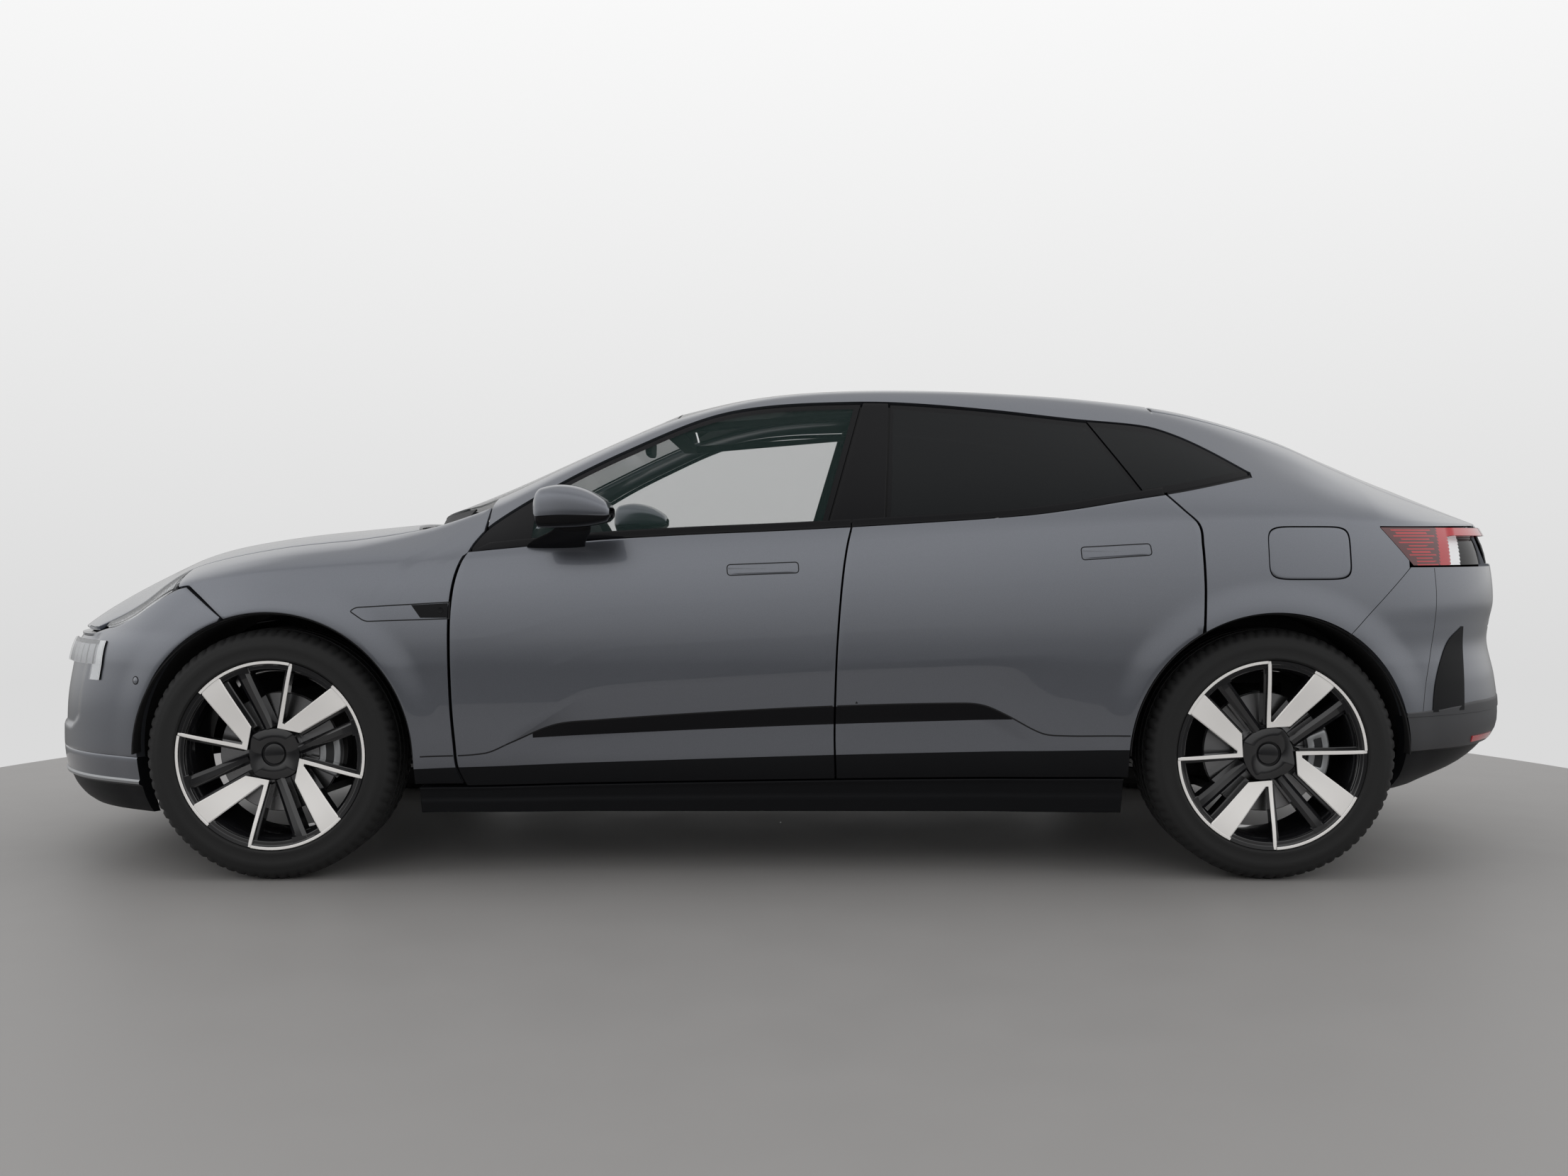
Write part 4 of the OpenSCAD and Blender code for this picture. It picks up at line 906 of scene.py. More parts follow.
@dataclass
class Trim:
    """Flat trim that lies on the side surface: outlines, plates and handles."""
    form: BodyForm
    look: Finishes

    def ribbon(self, path: Array, width: float, lift: float, sink: float) -> tuple[Array, Array]:
        """Band carried along a path on the side.

        Each cross row runs square to the path in station and height, and is laid on the side.

        Args:
            path: Stations and heights, shape (n, 2).
            width: Width of the band.
            lift, sink: Height above and depth below the side.

        Returns:
            Outer and inner grids.
        """
        t = np.gradient(path, axis=0)
        t = t / np.maximum(np.linalg.norm(t, axis=1, keepdims=True), 1e-9)
        n = np.stack([-t[:, 1], t[:, 0]], -1)
        w = np.array([-0.5, -0.25, 0.25, 0.5]) * width
        at = path[:, None, :] + n[:, None, :] * w[None, :, None]
        return self.lay(at[..., 0], at[..., 1], lift * np.array([0.2, 1, 1, 0.2])[None, :], sink)

    def lay(self, x: Array, z: Array, lift: Number, sink: float) -> tuple[Array, Array]:
        """Lays stations and heights on the side, as an outer and an inner grid."""
        f = self.form
        h = f.lift(x, z)
        p, n = f.skin(x, h), f.skin_normal(x, h)
        return p + n * np.broadcast_to(lift, x.shape)[..., None], p - n * sink

    @staticmethod
    def outline(corners: Sequence[tuple[float, float]], radius: Sequence[float],
                n: int = 7) -> Array:
        """Closed path round corners, each rounded by a quadratic curve.

        Args:
            corners: Stations and heights in order.
            radius: How far from each corner its rounding starts.
            n: Points in each rounding.

        Returns:
            Path of shape (m, 2), first point repeated at the end.
        """
        c = np.asarray(corners, float)
        r = np.asarray(radius, float)[:, None]
        a, b = np.roll(c, 1, 0) - c, np.roll(c, -1, 0) - c
        p = c + a / np.linalg.norm(a, axis=1, keepdims=True) * r
        q = c + b / np.linalg.norm(b, axis=1, keepdims=True) * r
        t = span(n)[None, :, None]
        arcs = (1 - t) ** 2 * p[:, None] + 2 * t * (1 - t) * c[:, None] + t * t * q[:, None]
        loop = arcs.reshape(-1, 2)
        loop = np.concatenate([loop, loop[:1]])
        far = np.cumsum(np.concatenate([[0], np.linalg.norm(np.diff(loop, axis=0), axis=1)]))
        even = np.unique(np.concatenate([far, np.linspace(0, far[-1], 90)]))
        return np.stack([np.interp(even, far, loop[:, 0]), np.interp(even, far, loop[:, 1])], -1)

    @staticmethod
    def fill(loop: Array, rows: int = 10) -> Array:
        """Grid that fills a closed path by drawing it in to its middle, shape (rows, m, 2)."""
        mid = (loop.min(0) + loop.max(0)) / 2
        k = np.linspace(1.0, 0.0, rows)[:, None, None]
        line = np.stack([np.clip(loop[:, 0], *np.sort([mid[0] - 1e-3, mid[0] + 1e-3])),
                         0 * loop[:, 1] + mid[1]], -1)
        return mix(line[None], loop[None], k)

    def wing_plate(self) -> None:
        """Plate ahead of the front door: a dark outline, and a black window with a round lens;
        below it a dark band of painted shade along the crease.
        """
        corners = [(983, 838), (1262, 822), (1277, 811), (1233, 781), (983, 789)]
        loop = self.outline(corners, (1.0, 10, 6, 14, 1.0))
        edge = Piece("wing_plate_outlines_and_crease_shade", "body", "gloss_black", (self.look.seam,))
        edge.slab(*self.ribbon(loop, 3.6, 0.5, 1.0))
        # Dark band along the crease on the wing: painted shade of the crease
        low = np.linspace(976, 1074, 20)
        edge.slab(*self.ribbon(np.stack([low, self.form.crease(low) + 1.5], -1), 4.5, 0.6, 1.5))
        edge.mirror().make()
        pane = Piece("wing_camera_windows", "body", "gloss_black", (self.look.gloss,))
        u, v = patch(12, 12)
        x = mix(987.0, mix(1068.0, 1096.0, v), u)
        pane.slab(*self.lay(x, mix(791.5, mix(835.0, 829.0, u), v), 0.8, 1.0))
        ring = np.linspace(0, 2 * np.pi, 49)
        r = np.array([0.2, 6.0, 8.0, 8.6])
        A, R = lattice(ring, r)
        lens = self.lay(1009 + R * np.cos(A), 813 + R * np.sin(A),
                        np.array([1.4, 1.8, 2.2, 1.0])[None, :], 1.0)
        pane.slab(*lens)
        pane.mirror().make()

    def handle(self, name: str, body: str, corners: Sequence[tuple[float, float]],
               side: int) -> None:
        """Flush door handle: a plate in a dark outline."""
        loop = self.outline(corners, (11, 11, 11, 11))
        piece = Piece(name, body, "paint", (self.look.paint, self.look.seam))
        piece.slab(*self.ribbon(loop, 3.2, 0.4, 1.0), finish=1)
        mid = loop.mean(0)
        g = self.fill(mid + (loop - mid) * np.array([0.965, 0.86]))
        rim = np.array([0.2, 0.9, 1.2] + [1.2] * 7)[:, None]
        piece.slab(*self.lay(g[..., 0], g[..., 1], rim, 1.0))
        piece.turned(side).make()


@dataclass
class Door(Assembly):
    """Side door: skin with a leaning facet, a dark inlay and a black foot; glass, strip, lining."""
    rear: bool
    side: int
    inside: float = 862.0
    thick: float = 110.0
    radius: float = 2.6
    rows: int = 12
    pad_radius: float = 12.0
    inlay_ends: tuple[float, float] = (-688.0, 742.0)
    pane_front: float = 926.0
    strip_front: float = 922.0
    border: float = 15.0
    strip: float = 24.0

    @property
    def code(self) -> str:
        """Short code of the door in the frame's node names."""
        return ("r" if self.rear else "f") + ("l" if self.side > 0 else "r")

    @property
    def body(self) -> str:
        """Body that the door moves with."""
        end, side = "rear" if self.rear else "front", "left" if self.side > 0 else "right"
        return "door_%s_%s" % (end, side)

    def edge_x(self, u: Array, z: Array) -> Array:
        """Station between the door's two shut lines at a height."""
        f = self.form
        if self.rear:
            arch = np.where(z < 800, f.axle_r + f.arch_reach(z), -9999.0)
            return mix(np.maximum(f.rear_shut(z), arch) + 2.5, f.mid_shut(z) - 2.7, u)
        return mix(f.mid_shut(z) + 2.5, f.front_shut(z) - 2.5, u)

    def row(self, x: Array, v: Array) -> Array:
        """Height of a row: each line, from foot and paint line to belt, has a row of its own."""
        f = self.form
        c, p, s, top = f.crease(x), f.paint_foot(x), f.shoulder(x), f.belt(x)
        low = np.clip(np.minimum(f.inlay(x), c - 0.6), p + 8, None)
        fold = np.maximum(f.facet(x), c + 6)
        return pick([f.door_foot(x), p, mix(p, low, 0.5), low, np.maximum(c, low + 0.5),
                     mix(c, fold, 0.5), fold, mix(fold, s, 0.3), mix(fold, s, 0.6),
                     mix(fold, s, 0.85), s, mix(s, top, 0.5), top], v)

    def at(self, u: Array, v: Array) -> tuple[Array, Array]:
        """Station and height of a grid place, found by repeating."""
        return settle(lambda z: self.edge_x(u, z), lambda x: self.row(x, v), 600.0 + 0 * u)

    def back_y(self, y: Array) -> Array:
        """Half width of the skin's inner face behind its outer one."""
        return np.maximum(np.minimum(self.inside, y - 45), y - self.thick)

    def build(self) -> None:
        """Skin, lining, glass, belt strip and handle."""
        f, look = self.form, self.look
        u, ru = steps(54, 1120, self.radius)
        v, rv = steps(60, 740, self.radius, keep=np.arange(self.rows + 1) / self.rows)
        U, V = lattice(u, v)
        x, z = self.at(U, V)
        y = f.body_y(x, z)
        grid = cloud(x, y, z)
        outer = rolled(grid, ru, rv, self.radius)
        inner = cloud(x, self.back_y(y), z)
        vm, xm = middle(V), middle(x)
        row = vm * self.rows
        dark = (row > 3) & (row < 4) & (xm > self.inlay_ends[0]) & (xm < self.inlay_ends[1])
        mark = np.where(row < 1, 1, np.where(dark, 2, 0))
        door = Piece("door_skin_" + self.code, self.body, "paint",
                     (look.paint, look.satin, look.gloss, look.trim), ["door_" + self.code])
        door.slab(outer, inner, mark, back=0)
        door.turned(self.side).make()
        # Thin dark band along the crease from edge to edge of the door: painted shade of the crease
        t = np.linspace(0.004, 0.996, 150)
        px = self.edge_x(t, f.crease(self.edge_x(t, 450.0 + 0 * t)))
        line = Piece("door_crease_line_" + self.code, self.body, "gloss_black", (look.seam,))
        line.slab(*Trim(f, look).ribbon(np.stack([px, f.crease(px) + 1.5], -1), 4.5, 0.6, 1.5))
        line.turned(self.side).make()
        self.lining()
        self.glass()
        corners = ([(-897, 1001), (-1103, 1012), (-1108, 978), (-900, 963)] if self.rear
                   else [(158, 949), (-55, 957), (-57, 925), (156, 917)])
        Trim(f, look).handle("door_handle_" + self.code, self.body, corners, self.side)

    def lining(self) -> None:
        """Inner lining: a padded face with an arm rest and a pocket."""
        u, ru = steps(30, 900, self.pad_radius)
        v, rv = steps(30, 600, self.pad_radius)
        U, V = lattice(u, v)
        x, z = self.at(mix(0.08, 0.90, U), mix(0.16, 0.97, V))
        y = self.form.body_y(x, z)
        back = self.back_y(y) + 1.0
        rest = 42 * np.exp(-((z - 700) / 34) ** 2) * ease(U * 6) * ease((1 - U) * 5)
        pocket = 20 * ease((600 - z) / 60) * ease(U * 5) * ease((1 - U) * 5)
        face = np.minimum(back - 9 - rest - pocket + sunk(ru, rv, self.pad_radius), back - 0.5)
        mark = np.where((z[:-1, :-1] > 760) & (z[:-1, :-1] < 900), 1, 0)
        pad = Piece("door_lining_" + self.code, self.body, "cabin_trim",
                    (self.look.trim, self.look.leather))
        pad.slab(cloud(x, face, z), cloud(x, back, z), mark)
        pad.turned(self.side).make()

    def glass_x(self, u: Array, z: Array) -> Array:
        """Station between the pane's two upright edges."""
        f = self.form
        if self.rear:
            return mix(f.divider(z), f.pillar_rear(z), u)
        return mix(f.pillar_front(z), self.pane_front, u)

    def glass(self) -> None:
        """Frameless pane with a black border, and the black strip along the belt."""
        f, look = self.form, self.look

        def height(x: Array, v: Array) -> Array:
            """Height of a row between belt and window top, with rows for strip and border."""
            a, b = f.belt(x) + 0.7, f.window(x) - 8
            b = np.maximum(b, a + 3)
            low = np.minimum(a + self.strip, mix(a, b, 0.4))
            high = np.maximum(b - self.border, mix(a, b, 0.6))
            return pick([a, low, mix(low, high, 0.33), mix(low, high, 0.67), high, b], v)

        gu = np.unique(np.concatenate([span(61), [0.016, 0.984]]))
        U, V = lattice(gu, span(31))
        x, z = settle(lambda z: self.glass_x(U, z), lambda x: height(x, V), 1200.0 + 0 * U)
        y = f.body_y(x, z)
        um, vm = middle(U), middle(V)
        xm = middle(x)
        edge = (vm < 0.2) | (vm > 0.8) | (um < 0.016) | (um > 0.984)
        frit = edge | ((xm > self.inlay_ends[1]) & (not self.rear))
        pane = Piece("side_glass_" + self.code, self.body,
                     "dark_glass" if self.rear else "clear_glass",
                     (look.dark if self.rear else look.clear, look.gloss),
                     ["door_glass_" + self.code])
        pane.slab(cloud(x, y - 8.1, z), cloud(x, y - 14.0, z), frit, back=0)
        pane.turned(self.side).make()
        su, rs = steps(60, 1000, 2.0)
        sv, rv = steps(4, 24, 2.0)
        U, V = lattice(su, sv)
        rise = mix(1.2, self.strip, V)
        x, _ = settle(lambda z: self.edge_x(U, z), lambda x: f.belt(x) + rise, 1040.0 + 0 * U, 4)
        x = np.minimum(x, self.strip_front)
        z = f.belt(x) + rise * np.clip((self.strip_front + 12 - x) / 60, 0.12, 1)
        y = f.body_y(x, z)
        belt = Piece("belt_strip_" + self.code, self.body, "gloss_black", (look.gloss,))
        belt.slab(rolled(cloud(x, y - 1.5, z), rs, rv, 2.0), cloud(x, y - 7.6, z))
        belt.turned(self.side).make()


@dataclass
class SideFrames(Assembly):
    """Rear quarters and roof rails as one skin, with the hole of the charge flap on the left."""
    thick: float = 14.0
    split: float = -1442.0
    lamp_x: float = -1812.0
    hole: tuple[float, float, float, float] = (-1709.5, -1452.5, 903.5, 1064.5)
    step: float = 884.0

    def bottom(self, x: Array) -> Array:
        """Lower border: the wheel arch, then the line of the rear bumper."""
        f = self.form
        arch = f.axle_z + np.sqrt(np.maximum(0, f.arch ** 2 - (x - f.axle_r) ** 2))
        return np.where(x > -1697, arch, 746 + (-1705 - x) / 208 * 200 + 3)

    def waist_front(self, z: Array) -> Array:
        """Front border: the shut line of the rear door."""
        return self.form.rear_shut(z) - 4.5

    def add(self, piece: Piece, x: Array, h: Array, walls: str) -> None:
        """Adds a part of the skin with its inner face."""
        p, n = self.form.skin(x, h), self.form.skin_normal(x, h)
        piece.slab(p, p - n * self.thick, walls=walls)

    def climbs(self, x: Array) -> tuple[Array, Array]:
        """Climbs of the lower border and of the step below the flap."""
        zs = self.form.shoulder(x)
        return self.bottom(x) - zs, self.step - zs

    def build(self) -> None:
        """Both sides, the flap and its pocket."""
        for side in (1, -1):
            name = "side_frame_" + ("left" if side > 0 else "right")
            piece = Piece(name, "body", "paint", (self.look.paint,),
                          ["side_frames"] if side > 0 else ())
            self.quarter(piece, side > 0)
            self.rail(piece)
            piece.turned(side).make()
        self.flap()

    def quarter(self, piece: Piece, holed: bool) -> None:
        """Rear quarter: columns of stations, rows from the arch over the shoulder to the tailgate.

        Args:
            piece: Piece that takes the grids.
            holed: Whether the hole of the charge flap is cut.
        """
        f = self.form
        at = np.array([self.split])
        hb = float(f.lift(at, f.belt(at) - 1)[0])
        ht = float(f.lift(at, f.window(at) + 2.5)[0])
        low, mid, tip = span(13), span(25), span(15)
        xa = np.linspace(self.lamp_x, -1736, 8)
        xb = np.linspace(-1736, self.split, 41)
        for xs, plain in ((xa, True), (xb, not holed)):
            X, V = lattice(xs, low)
            h0, h1 = self.climbs(X)
            self.add(piece, X, mix(h0, h1, V), "c")
            X, V = lattice(xs, mid)
            if plain:
                self.add(piece, X, mix(self.climbs(X)[1], 0 * X, V), "")
            X, V = lattice(xs, tip)
            self.add(piece, X, mix(0 * X, hb + 0 * X, V), "")
            self.add(piece, X, mix(hb + 0 * X, ht + 0 * X, V), "b" if xs is xb else "")
            self.add(piece, X, mix(ht + 0 * X, 1000 * f.gate_r(X), V), "d")
        if holed:
            self.ring(piece, xb, mid)
        U, V = lattice(span(25), low)
        x = self.front_x(U, V, 0)
        h0, h1 = self.climbs(x)
        self.add(piece, x, mix(h0, h1, V), "bc")
        U, V = lattice(span(25), mid)
        x = self.front_x(U, V, 1)
        self.add(piece, x, mix(self.climbs(x)[1], 0 * x, V), "b")
        U, V = lattice(span(25), tip)
        x = self.front_x(U, V, 2)
        self.add(piece, x, mix(0 * x, f.lift(x, f.belt(x) - 1), V), "bd")
        X, V = lattice(np.linspace(-1901, self.lamp_x, 14), span(12))
        top = np.minimum(946 + (X + 1918) / 106 * 118 - 4, f.shoulder(X))
        base = np.minimum(self.bottom(X), top - 0.5)
        self.add(piece, X, f.lift(X, mix(base, top, V)), "acd")
        X, V = lattice(np.linspace(-2219, self.lamp_x, 56), tip)
        self.add(piece, X, mix(-5.0 + 0 * X, 1000 * f.gate_r(X), V), "acd")

    def front_x(self, u: Array, v: Array, band: int) -> Array:
        """Station between the split and the door's shut line for one band of rows."""
        f = self.form
        x = mix(self.split, -1255.0, u)
        for _ in range(5):
            zs = f.shoulder(x)
            a, b = ((self.bottom(x), self.step + 0 * x), (self.step + 0 * x, zs),
                    (zs, f.belt(x) - 1))[band]
            x = mix(self.split, self.waist_front(mix(a, b, v)), u)
        return x

    def loop(self, cx: Array, cz: Array) -> tuple[Array, Array]:
        """Rounded rectangle of the hole, met by rays from its middle through the given points.

        It is the curve |x/a|^6 + |z/b|^6 = 1.
        """
        x0, x1, z0, z1 = self.hole
        mx, mz, a, b = (x0 + x1) / 2, (z0 + z1) / 2, (x1 - x0) / 2, (z1 - z0) / 2
        dx, dz = (cx - mx) / a, (cz - mz) / b
        k = (np.abs(dx) ** 6 + np.abs(dz) ** 6) ** (-1 / 6)
        return mx + (cx - mx) * k, mz + (cz - mz) * k

    def ring(self, piece: Piece, xs: Array, rows: Array) -> None:
        """Skin between the hole of the flap and the grid round it."""
        f = self.form
        zs = f.shoulder(xs)
        left = mix(self.step, zs[0], rows)
        right = mix(self.step, zs[-1], rows)
        bx = np.concatenate([xs, np.full(len(rows) - 1, xs[-1]), xs[-2::-1],
                             np.full(len(rows) - 1, xs[0])])
        bz = np.concatenate([np.full(len(xs), self.step), right[1:], zs[-2::-1], left[-2::-1]])
        hx, hz = self.loop(bx, bz)
        k = span(9)
        K, _ = lattice(k, bx)
        x, z = mix(hx[None], bx[None], K), mix(hz[None], bz[None], K)
        self.add(piece, x, f.lift(x, z), "a")

    def rail(self, piece: Piece) -> None:
        """Rail over the windows, from the window line to the roof glass and the tailgate."""
        f = self.form
        xs = np.unique(np.concatenate([np.linspace(self.split, f.roof_end, 40),
                                       np.linspace(f.roof_end, 888, 130)]))
        X, V = lattice(xs, span(15))
        low = 1000 * f.r_at_z(X, f.window(X) + 2.5)
        top = np.where(X < f.roof_end, 1000 * f.gate_r(X), 1000 * f.roof_r)
        mid = np.minimum(400.0, mix(low, top, 0.8))
        even = mix(low, top, V)
        bent = pick([low, mix(low, mid, 0.6), mix(low, mid, 0.9), mid, mix(mid, top, 0.4), top], V)
        near = ease((X - self.split) / 120)
        self.add(piece, X, mix(even, bent, near), "bcd")

    def flap(self) -> None:
        """Charge flap with a rounded outline, and the socket pocket behind it."""
        f = self.form
        x0, x1, z0, z1 = self.hole
        mx, mz = (x0 + x1) / 2, (z0 + z1) / 2
        t = np.linspace(0, 2 * np.pi, 121)
        cx, cz = self.loop(mx + 200 * np.cos(t), mz + 140 * np.sin(t))
        k, rk = steps(12, 60, 2.2, low=False)
        K, _ = lattice(k, t)
        shrink = np.array([1 - 3.2 / 128, 1 - 3.2 / 80])
        x, z = mx + (cx - mx)[None] * shrink[0] * K, mz + (cz - mz)[None] * shrink[1] * K
        h = f.lift(x, z)
        p, n = f.skin(x, h), f.skin_normal(x, h)
        lid = Piece("charge_flap_skin", "charge_flap", "paint", (self.look.paint,), ["charge_flap"])
        lid.slab(rolled(p, rk, 0 * t, 2.2, n), p - n * 9, walls="b")
        lid.make()
        well = Piece("charge_pocket", "body", "gloss_black", (self.look.satin, self.look.gloss))
        grow = np.array([1.0, 1.0, 0.97, 0.5, 0.5, 0.47, 0.3, 0.29, 0.004])
        deep = np.array([4.0, 15.0, 50.0, 52.0, 44.0, 42.0, 43.0, 56.0, 57.0])
        x, z = mx + (cx - mx)[None] * grow[:, None], mz + (cz - mz)[None] * grow[:, None]
        p = cloud(x, f.body_y(x, z) - deep[:, None], z)
        well.slab(p, p - np.array([0.0, 2.5, 0.0]),
                  np.where(np.arange(len(deep) - 1) > 3, 1, 0)[:, None])
        well.make()


@dataclass
class Bonnet(Assembly):
    """Bonnet skin, and the black cowl with its wipers behind it."""
    cowl_half: float = 712.5
    edge: float = 3.0

    def over(self, x: Array, s: Array) -> Array:
        """Point of the bonnet's surface over the cowl."""
        f = self.form
        return f.roof_point(x, sign(s), f.r_at_y(x, self.cowl_half * np.abs(s)), f.hood(x))

    def shelf(self, s: Array, at: Number) -> Array:
        """Station on the cowl between its heel under the windscreen and its front edge."""
        return mix(self.form.bow(1192, 200, s), self.form.bow(1206, 100, s), at)

    def point(self, u: Array, s: Array) -> Array:
        """Point of the bonnet: u from windscreen to nose, s across from -1 to 1."""
        f = self.form
        x = mix(f.bow(1212, 100, s), f.end_x(f.bonnet_tip * s, 742.0, True) - 3, u)
        r = np.maximum(0.01, f.r_at_y(x, np.abs(s) * f.bonnet_y(x)))
        return f.roof_point(x, sign(s), r, f.hood(x))

    def build(self) -> None:
        """Skin with a rolled edge, the cowl and two wipers."""
        f = self.form
        u, ru = steps(56, 1150, self.edge)
        v, rv = steps(64, 1500, self.edge)
        U, V = lattice(u, v)
        grid = self.point(U, 2 * V - 1)
        outer = rolled(grid, ru, rv, self.edge, outward(grid, (1200, 0, 300)))
        inner = self.point(U, (2 * V - 1) * 0.985) - cloud(9 * U * U, 0 * U, 20 - 8 * U)
        lid = Piece("bonnet_skin", "bonnet", "paint", (self.look.paint,), ["bonnet"])
        lid.slab(outer, inner)
        lid.make()
        U, V = patch(14, 120)
        s = 2 * V - 1
        top = self.over(self.shelf(s, U), s)
        slots = 3.0 * (np.sin(V * 260) > 0.2) * ((U > 0.35) & (U < 0.75))
        top[..., 2] -= 22 + slots
        cowl = Piece("cowl_cover", "body", "gloss_black", (self.look.satin,), ["cowl_panel"])
        cowl.slab(top, top - np.array([0, 0, 7.0]))
        s = np.linspace(-0.97, 0.97, 120)
        foot = f.bow(1183, 235, s)
        crest = f.roof_point(foot, sign(s), 1 - (1 - f.roof_r - 0.004) * np.abs(s), f.crown(foot))
        trough = self.over(f.bow(1194, 200, s), s)
        riser = mix(trough - np.array([0, 0, 24.0]), crest - np.array([0, 0, 7.0]),
                    span(8)[:, None, None])
        cowl.slab(riser, riser - np.array([4.0, 0, 3.0]))
        cowl.make()
        self.wipers()

    def wipers(self) -> None:
        """Two arms with blades that lie in the trough of the cowl at the foot of the windscreen."""
        piece = Piece("wipers", "body", "gloss_black", (self.look.satin,), (), 50.0)
        for a, b, at in ((-0.80, -0.04, 0.30), (0.0, 0.70, 0.42)):
            for width, tall, rise, last in ((7.0, 8.0, 4.0, 1.0), (9.0, 6.0, 9.0, 0.6)):
                T, A = lattice(np.linspace(0, last, 50), np.linspace(0, 2 * np.pi, 13))
                s = mix(a, b, T)
                p = self.over(self.shelf(s, at) + width * np.cos(A), s)
                p[..., 2] += rise - 20 + tall * 0.5 * np.sin(A)
                piece.tube(p)
        piece.make()


@dataclass
class Bumpers(Assembly):
    """Front and rear bumpers, their lower lips and the sills."""
    nose_foot: float = 362.0
    gate_half: float = 605.0
    thick: float = 26.0
    deep: float = 40.0

    def nose_top(self, s: Array) -> Array:
        """Upper border of the front bumper beside the lamps and under the bonnet."""
        f = self.form
        z = 800.0 + 0 * s
        for _ in range(14):
            angle = mix(f.edge_angle(z, f.nose_edge(z), True), np.pi / 2, 1 - np.abs(s))
            x = f.wrap(z, angle, s, True)[..., 0]
            z = mix(z, f.shoulder(x) - 2.8 - 13 * ease((x - 2090) / 80), 0.5)
        return z

    def nose(self, U: Array, V: Array, depth: Number) -> Array:
        """Point of the front bumper: U across from right to left, V from foot to top."""
        return self.band(U, mix(self.nose_foot, self.nose_top(2 * U - 1), V), True, depth)

    def band(self, U: Array, z: Array, front: bool, depth: Number) -> Array:
        """Point of a band wrapped round one end."""
        f, s = self.form, 2 * U - 1
        a = mix(f.edge_angle(z, f.nose_edge(z) if front else f.tail_edge(z), front), np.pi / 2,
                1 - np.abs(s))
        return f.wrap(z, a, sign(s), front, depth)

    def build(self) -> None:
        """All of them in turn."""
        self.front()
        self.lips()
        self.rear()
        self.sills()

    def front(self) -> None:
        """Front bumper with the fascia set back 8 mm inside a rounded border, and the sensors."""
        u, ru = steps(120, 2300, 2.5)
        v, rv = steps(42, 420, 2.5)
        U, V = lattice(u, v)
        flush = self.nose(U, V, 0.0)
        y, z = np.abs(flush[..., 1]), flush[..., 2]
        edge = np.interp(z, [430, 470, 590, 716], [690.0, 742.0, 752.0, 770.0])
        sink = 8 * ease((edge - y) / 16) * ease((z - 428) / 16) * ease((728 - z) / 8)
        outer = rolled(self.nose(U, V, sink), ru, rv, 2.5, outward(flush, (1400, 0, 550)))
        skin = Piece("front_bumper_skin", "body", "paint", (self.look.paint,), ["front_bumper"])
        skin.slab(outer, self.nose(U, V, 28.0))
        skin.make()
        disc = Piece("park_sensors", "body", "gloss_black", (self.look.seam, self.look.paint))
        t, k = lattice(np.linspace(0, 2 * np.pi, 33), np.array([0.02, 0.75, 0.8, 1.0, 1.02]))
        x, z = 1950 + 11 * k * np.cos(t), 598 + 13 * k * np.sin(t)
        lift = np.array([1.0, 1.0, 0.5, 0.6, -0.5])[None]
        disc.slab(*Trim(self.form, self.look).lay(x, z, lift, 1.5), finish=np.array([[1, 0, 0, 0]]))
        disc.mirror().make()

    def lips(self) -> None:
        """Front lip in three bands with a bright strip, and the rear lip with its step."""
        look = self.look
        lip = Piece("lower_lips", "body", "cladding",
                    (look.lip, look.satin, look.bright, look.paint), ["lower_cladding"])
        ends = (
            (True, [361.4, 358.0, 300.0, 290.0, 284.0, 276.0, 268.0, 236.0, 196.0, 180.0],
             [2.0, 0.0, -1.0, -2.0, -7.0, -7.0, 3.0, 6.0, 14.0, 20.0],
             [3, 3, 3, 2, 2, 0, 1, 1, 1]),
            (False, [491.4, 488.0, 396.0, 384.0, 377.0, 370.0, 300.0, 250.0],
             [3.0, 0.0, -4.0, -2.0, 8.0, 8.0, 10.0, 16.0],
             [0, 0, 0, 1, 1, 1, 1]),
        )
        for front, rows, out, kinds in ends:
            U, V = patch(91, 4 * len(kinds) + 1)
            z = pick(rows, V)
            mark = np.repeat(kinds, 4)[None, :]
            lip.slab(self.band(U, z, front, pick(out, V)), self.band(U, z, front, self.deep), mark,
                     back=1)
        lip.make()

    def rear(self) -> None:
        """Rear bumper: side columns up to the lamps, middle columns up to the tailgate."""
        f = self.form
        skin = Piece("rear_bumper_skin", "body", "paint", (self.look.paint,), ["rear_bumper"])
        for z0, z1, n, top in ((492.0, 743.0, 28, False), (743.0, 940.0, 24, True)):
            T, Z = lattice(span(50), np.linspace(z0, z1, n))
            a = mix(f.edge_angle(Z, f.tail_edge(Z), False), f.side_angle(self.gate_half, Z, False),
                    T)
            skin.slab(*f.shell(Z, a, False, 0.0, self.thick), walls="abd" if top else "ac")
            if not top:
                T, Z = lattice(span(40), np.linspace(z0, z1, n))
                a = mix(f.side_angle(self.gate_half, Z, False), np.pi / 2, T)
                skin.slab(*f.shell(Z, a, False, 0.0, self.thick), walls="cd")
        skin.mirror().make()
        Lamps(f, self.look).rear_corner()

    def sills(self) -> None:
        """Sills under the doors with a soft step along their length."""
        f = self.form
        u, ru = steps(60, 2110, 3.0)
        v, rv = steps(14, 100, 3.0)
        U, V = lattice(u, v)
        x = mix(-1030.0, 1084.0, U)
        z = mix(197.0, f.door_foot(x) - 6, V)
        y = f.side_y(x, z) - 5 * ease((V - 0.45) / 0.1) * ease((0.98 - V) / 0.1)
        grid = cloud(x, y, z)
        sill = Piece("sill_covers", "body", "cladding", (self.look.satin,))
        sill.slab(rolled(grid, ru, rv, 3.0, outward(grid, (0, 0, 260))), cloud(x, 836.4 + 0 * x, z))
        sill.mirror().make()


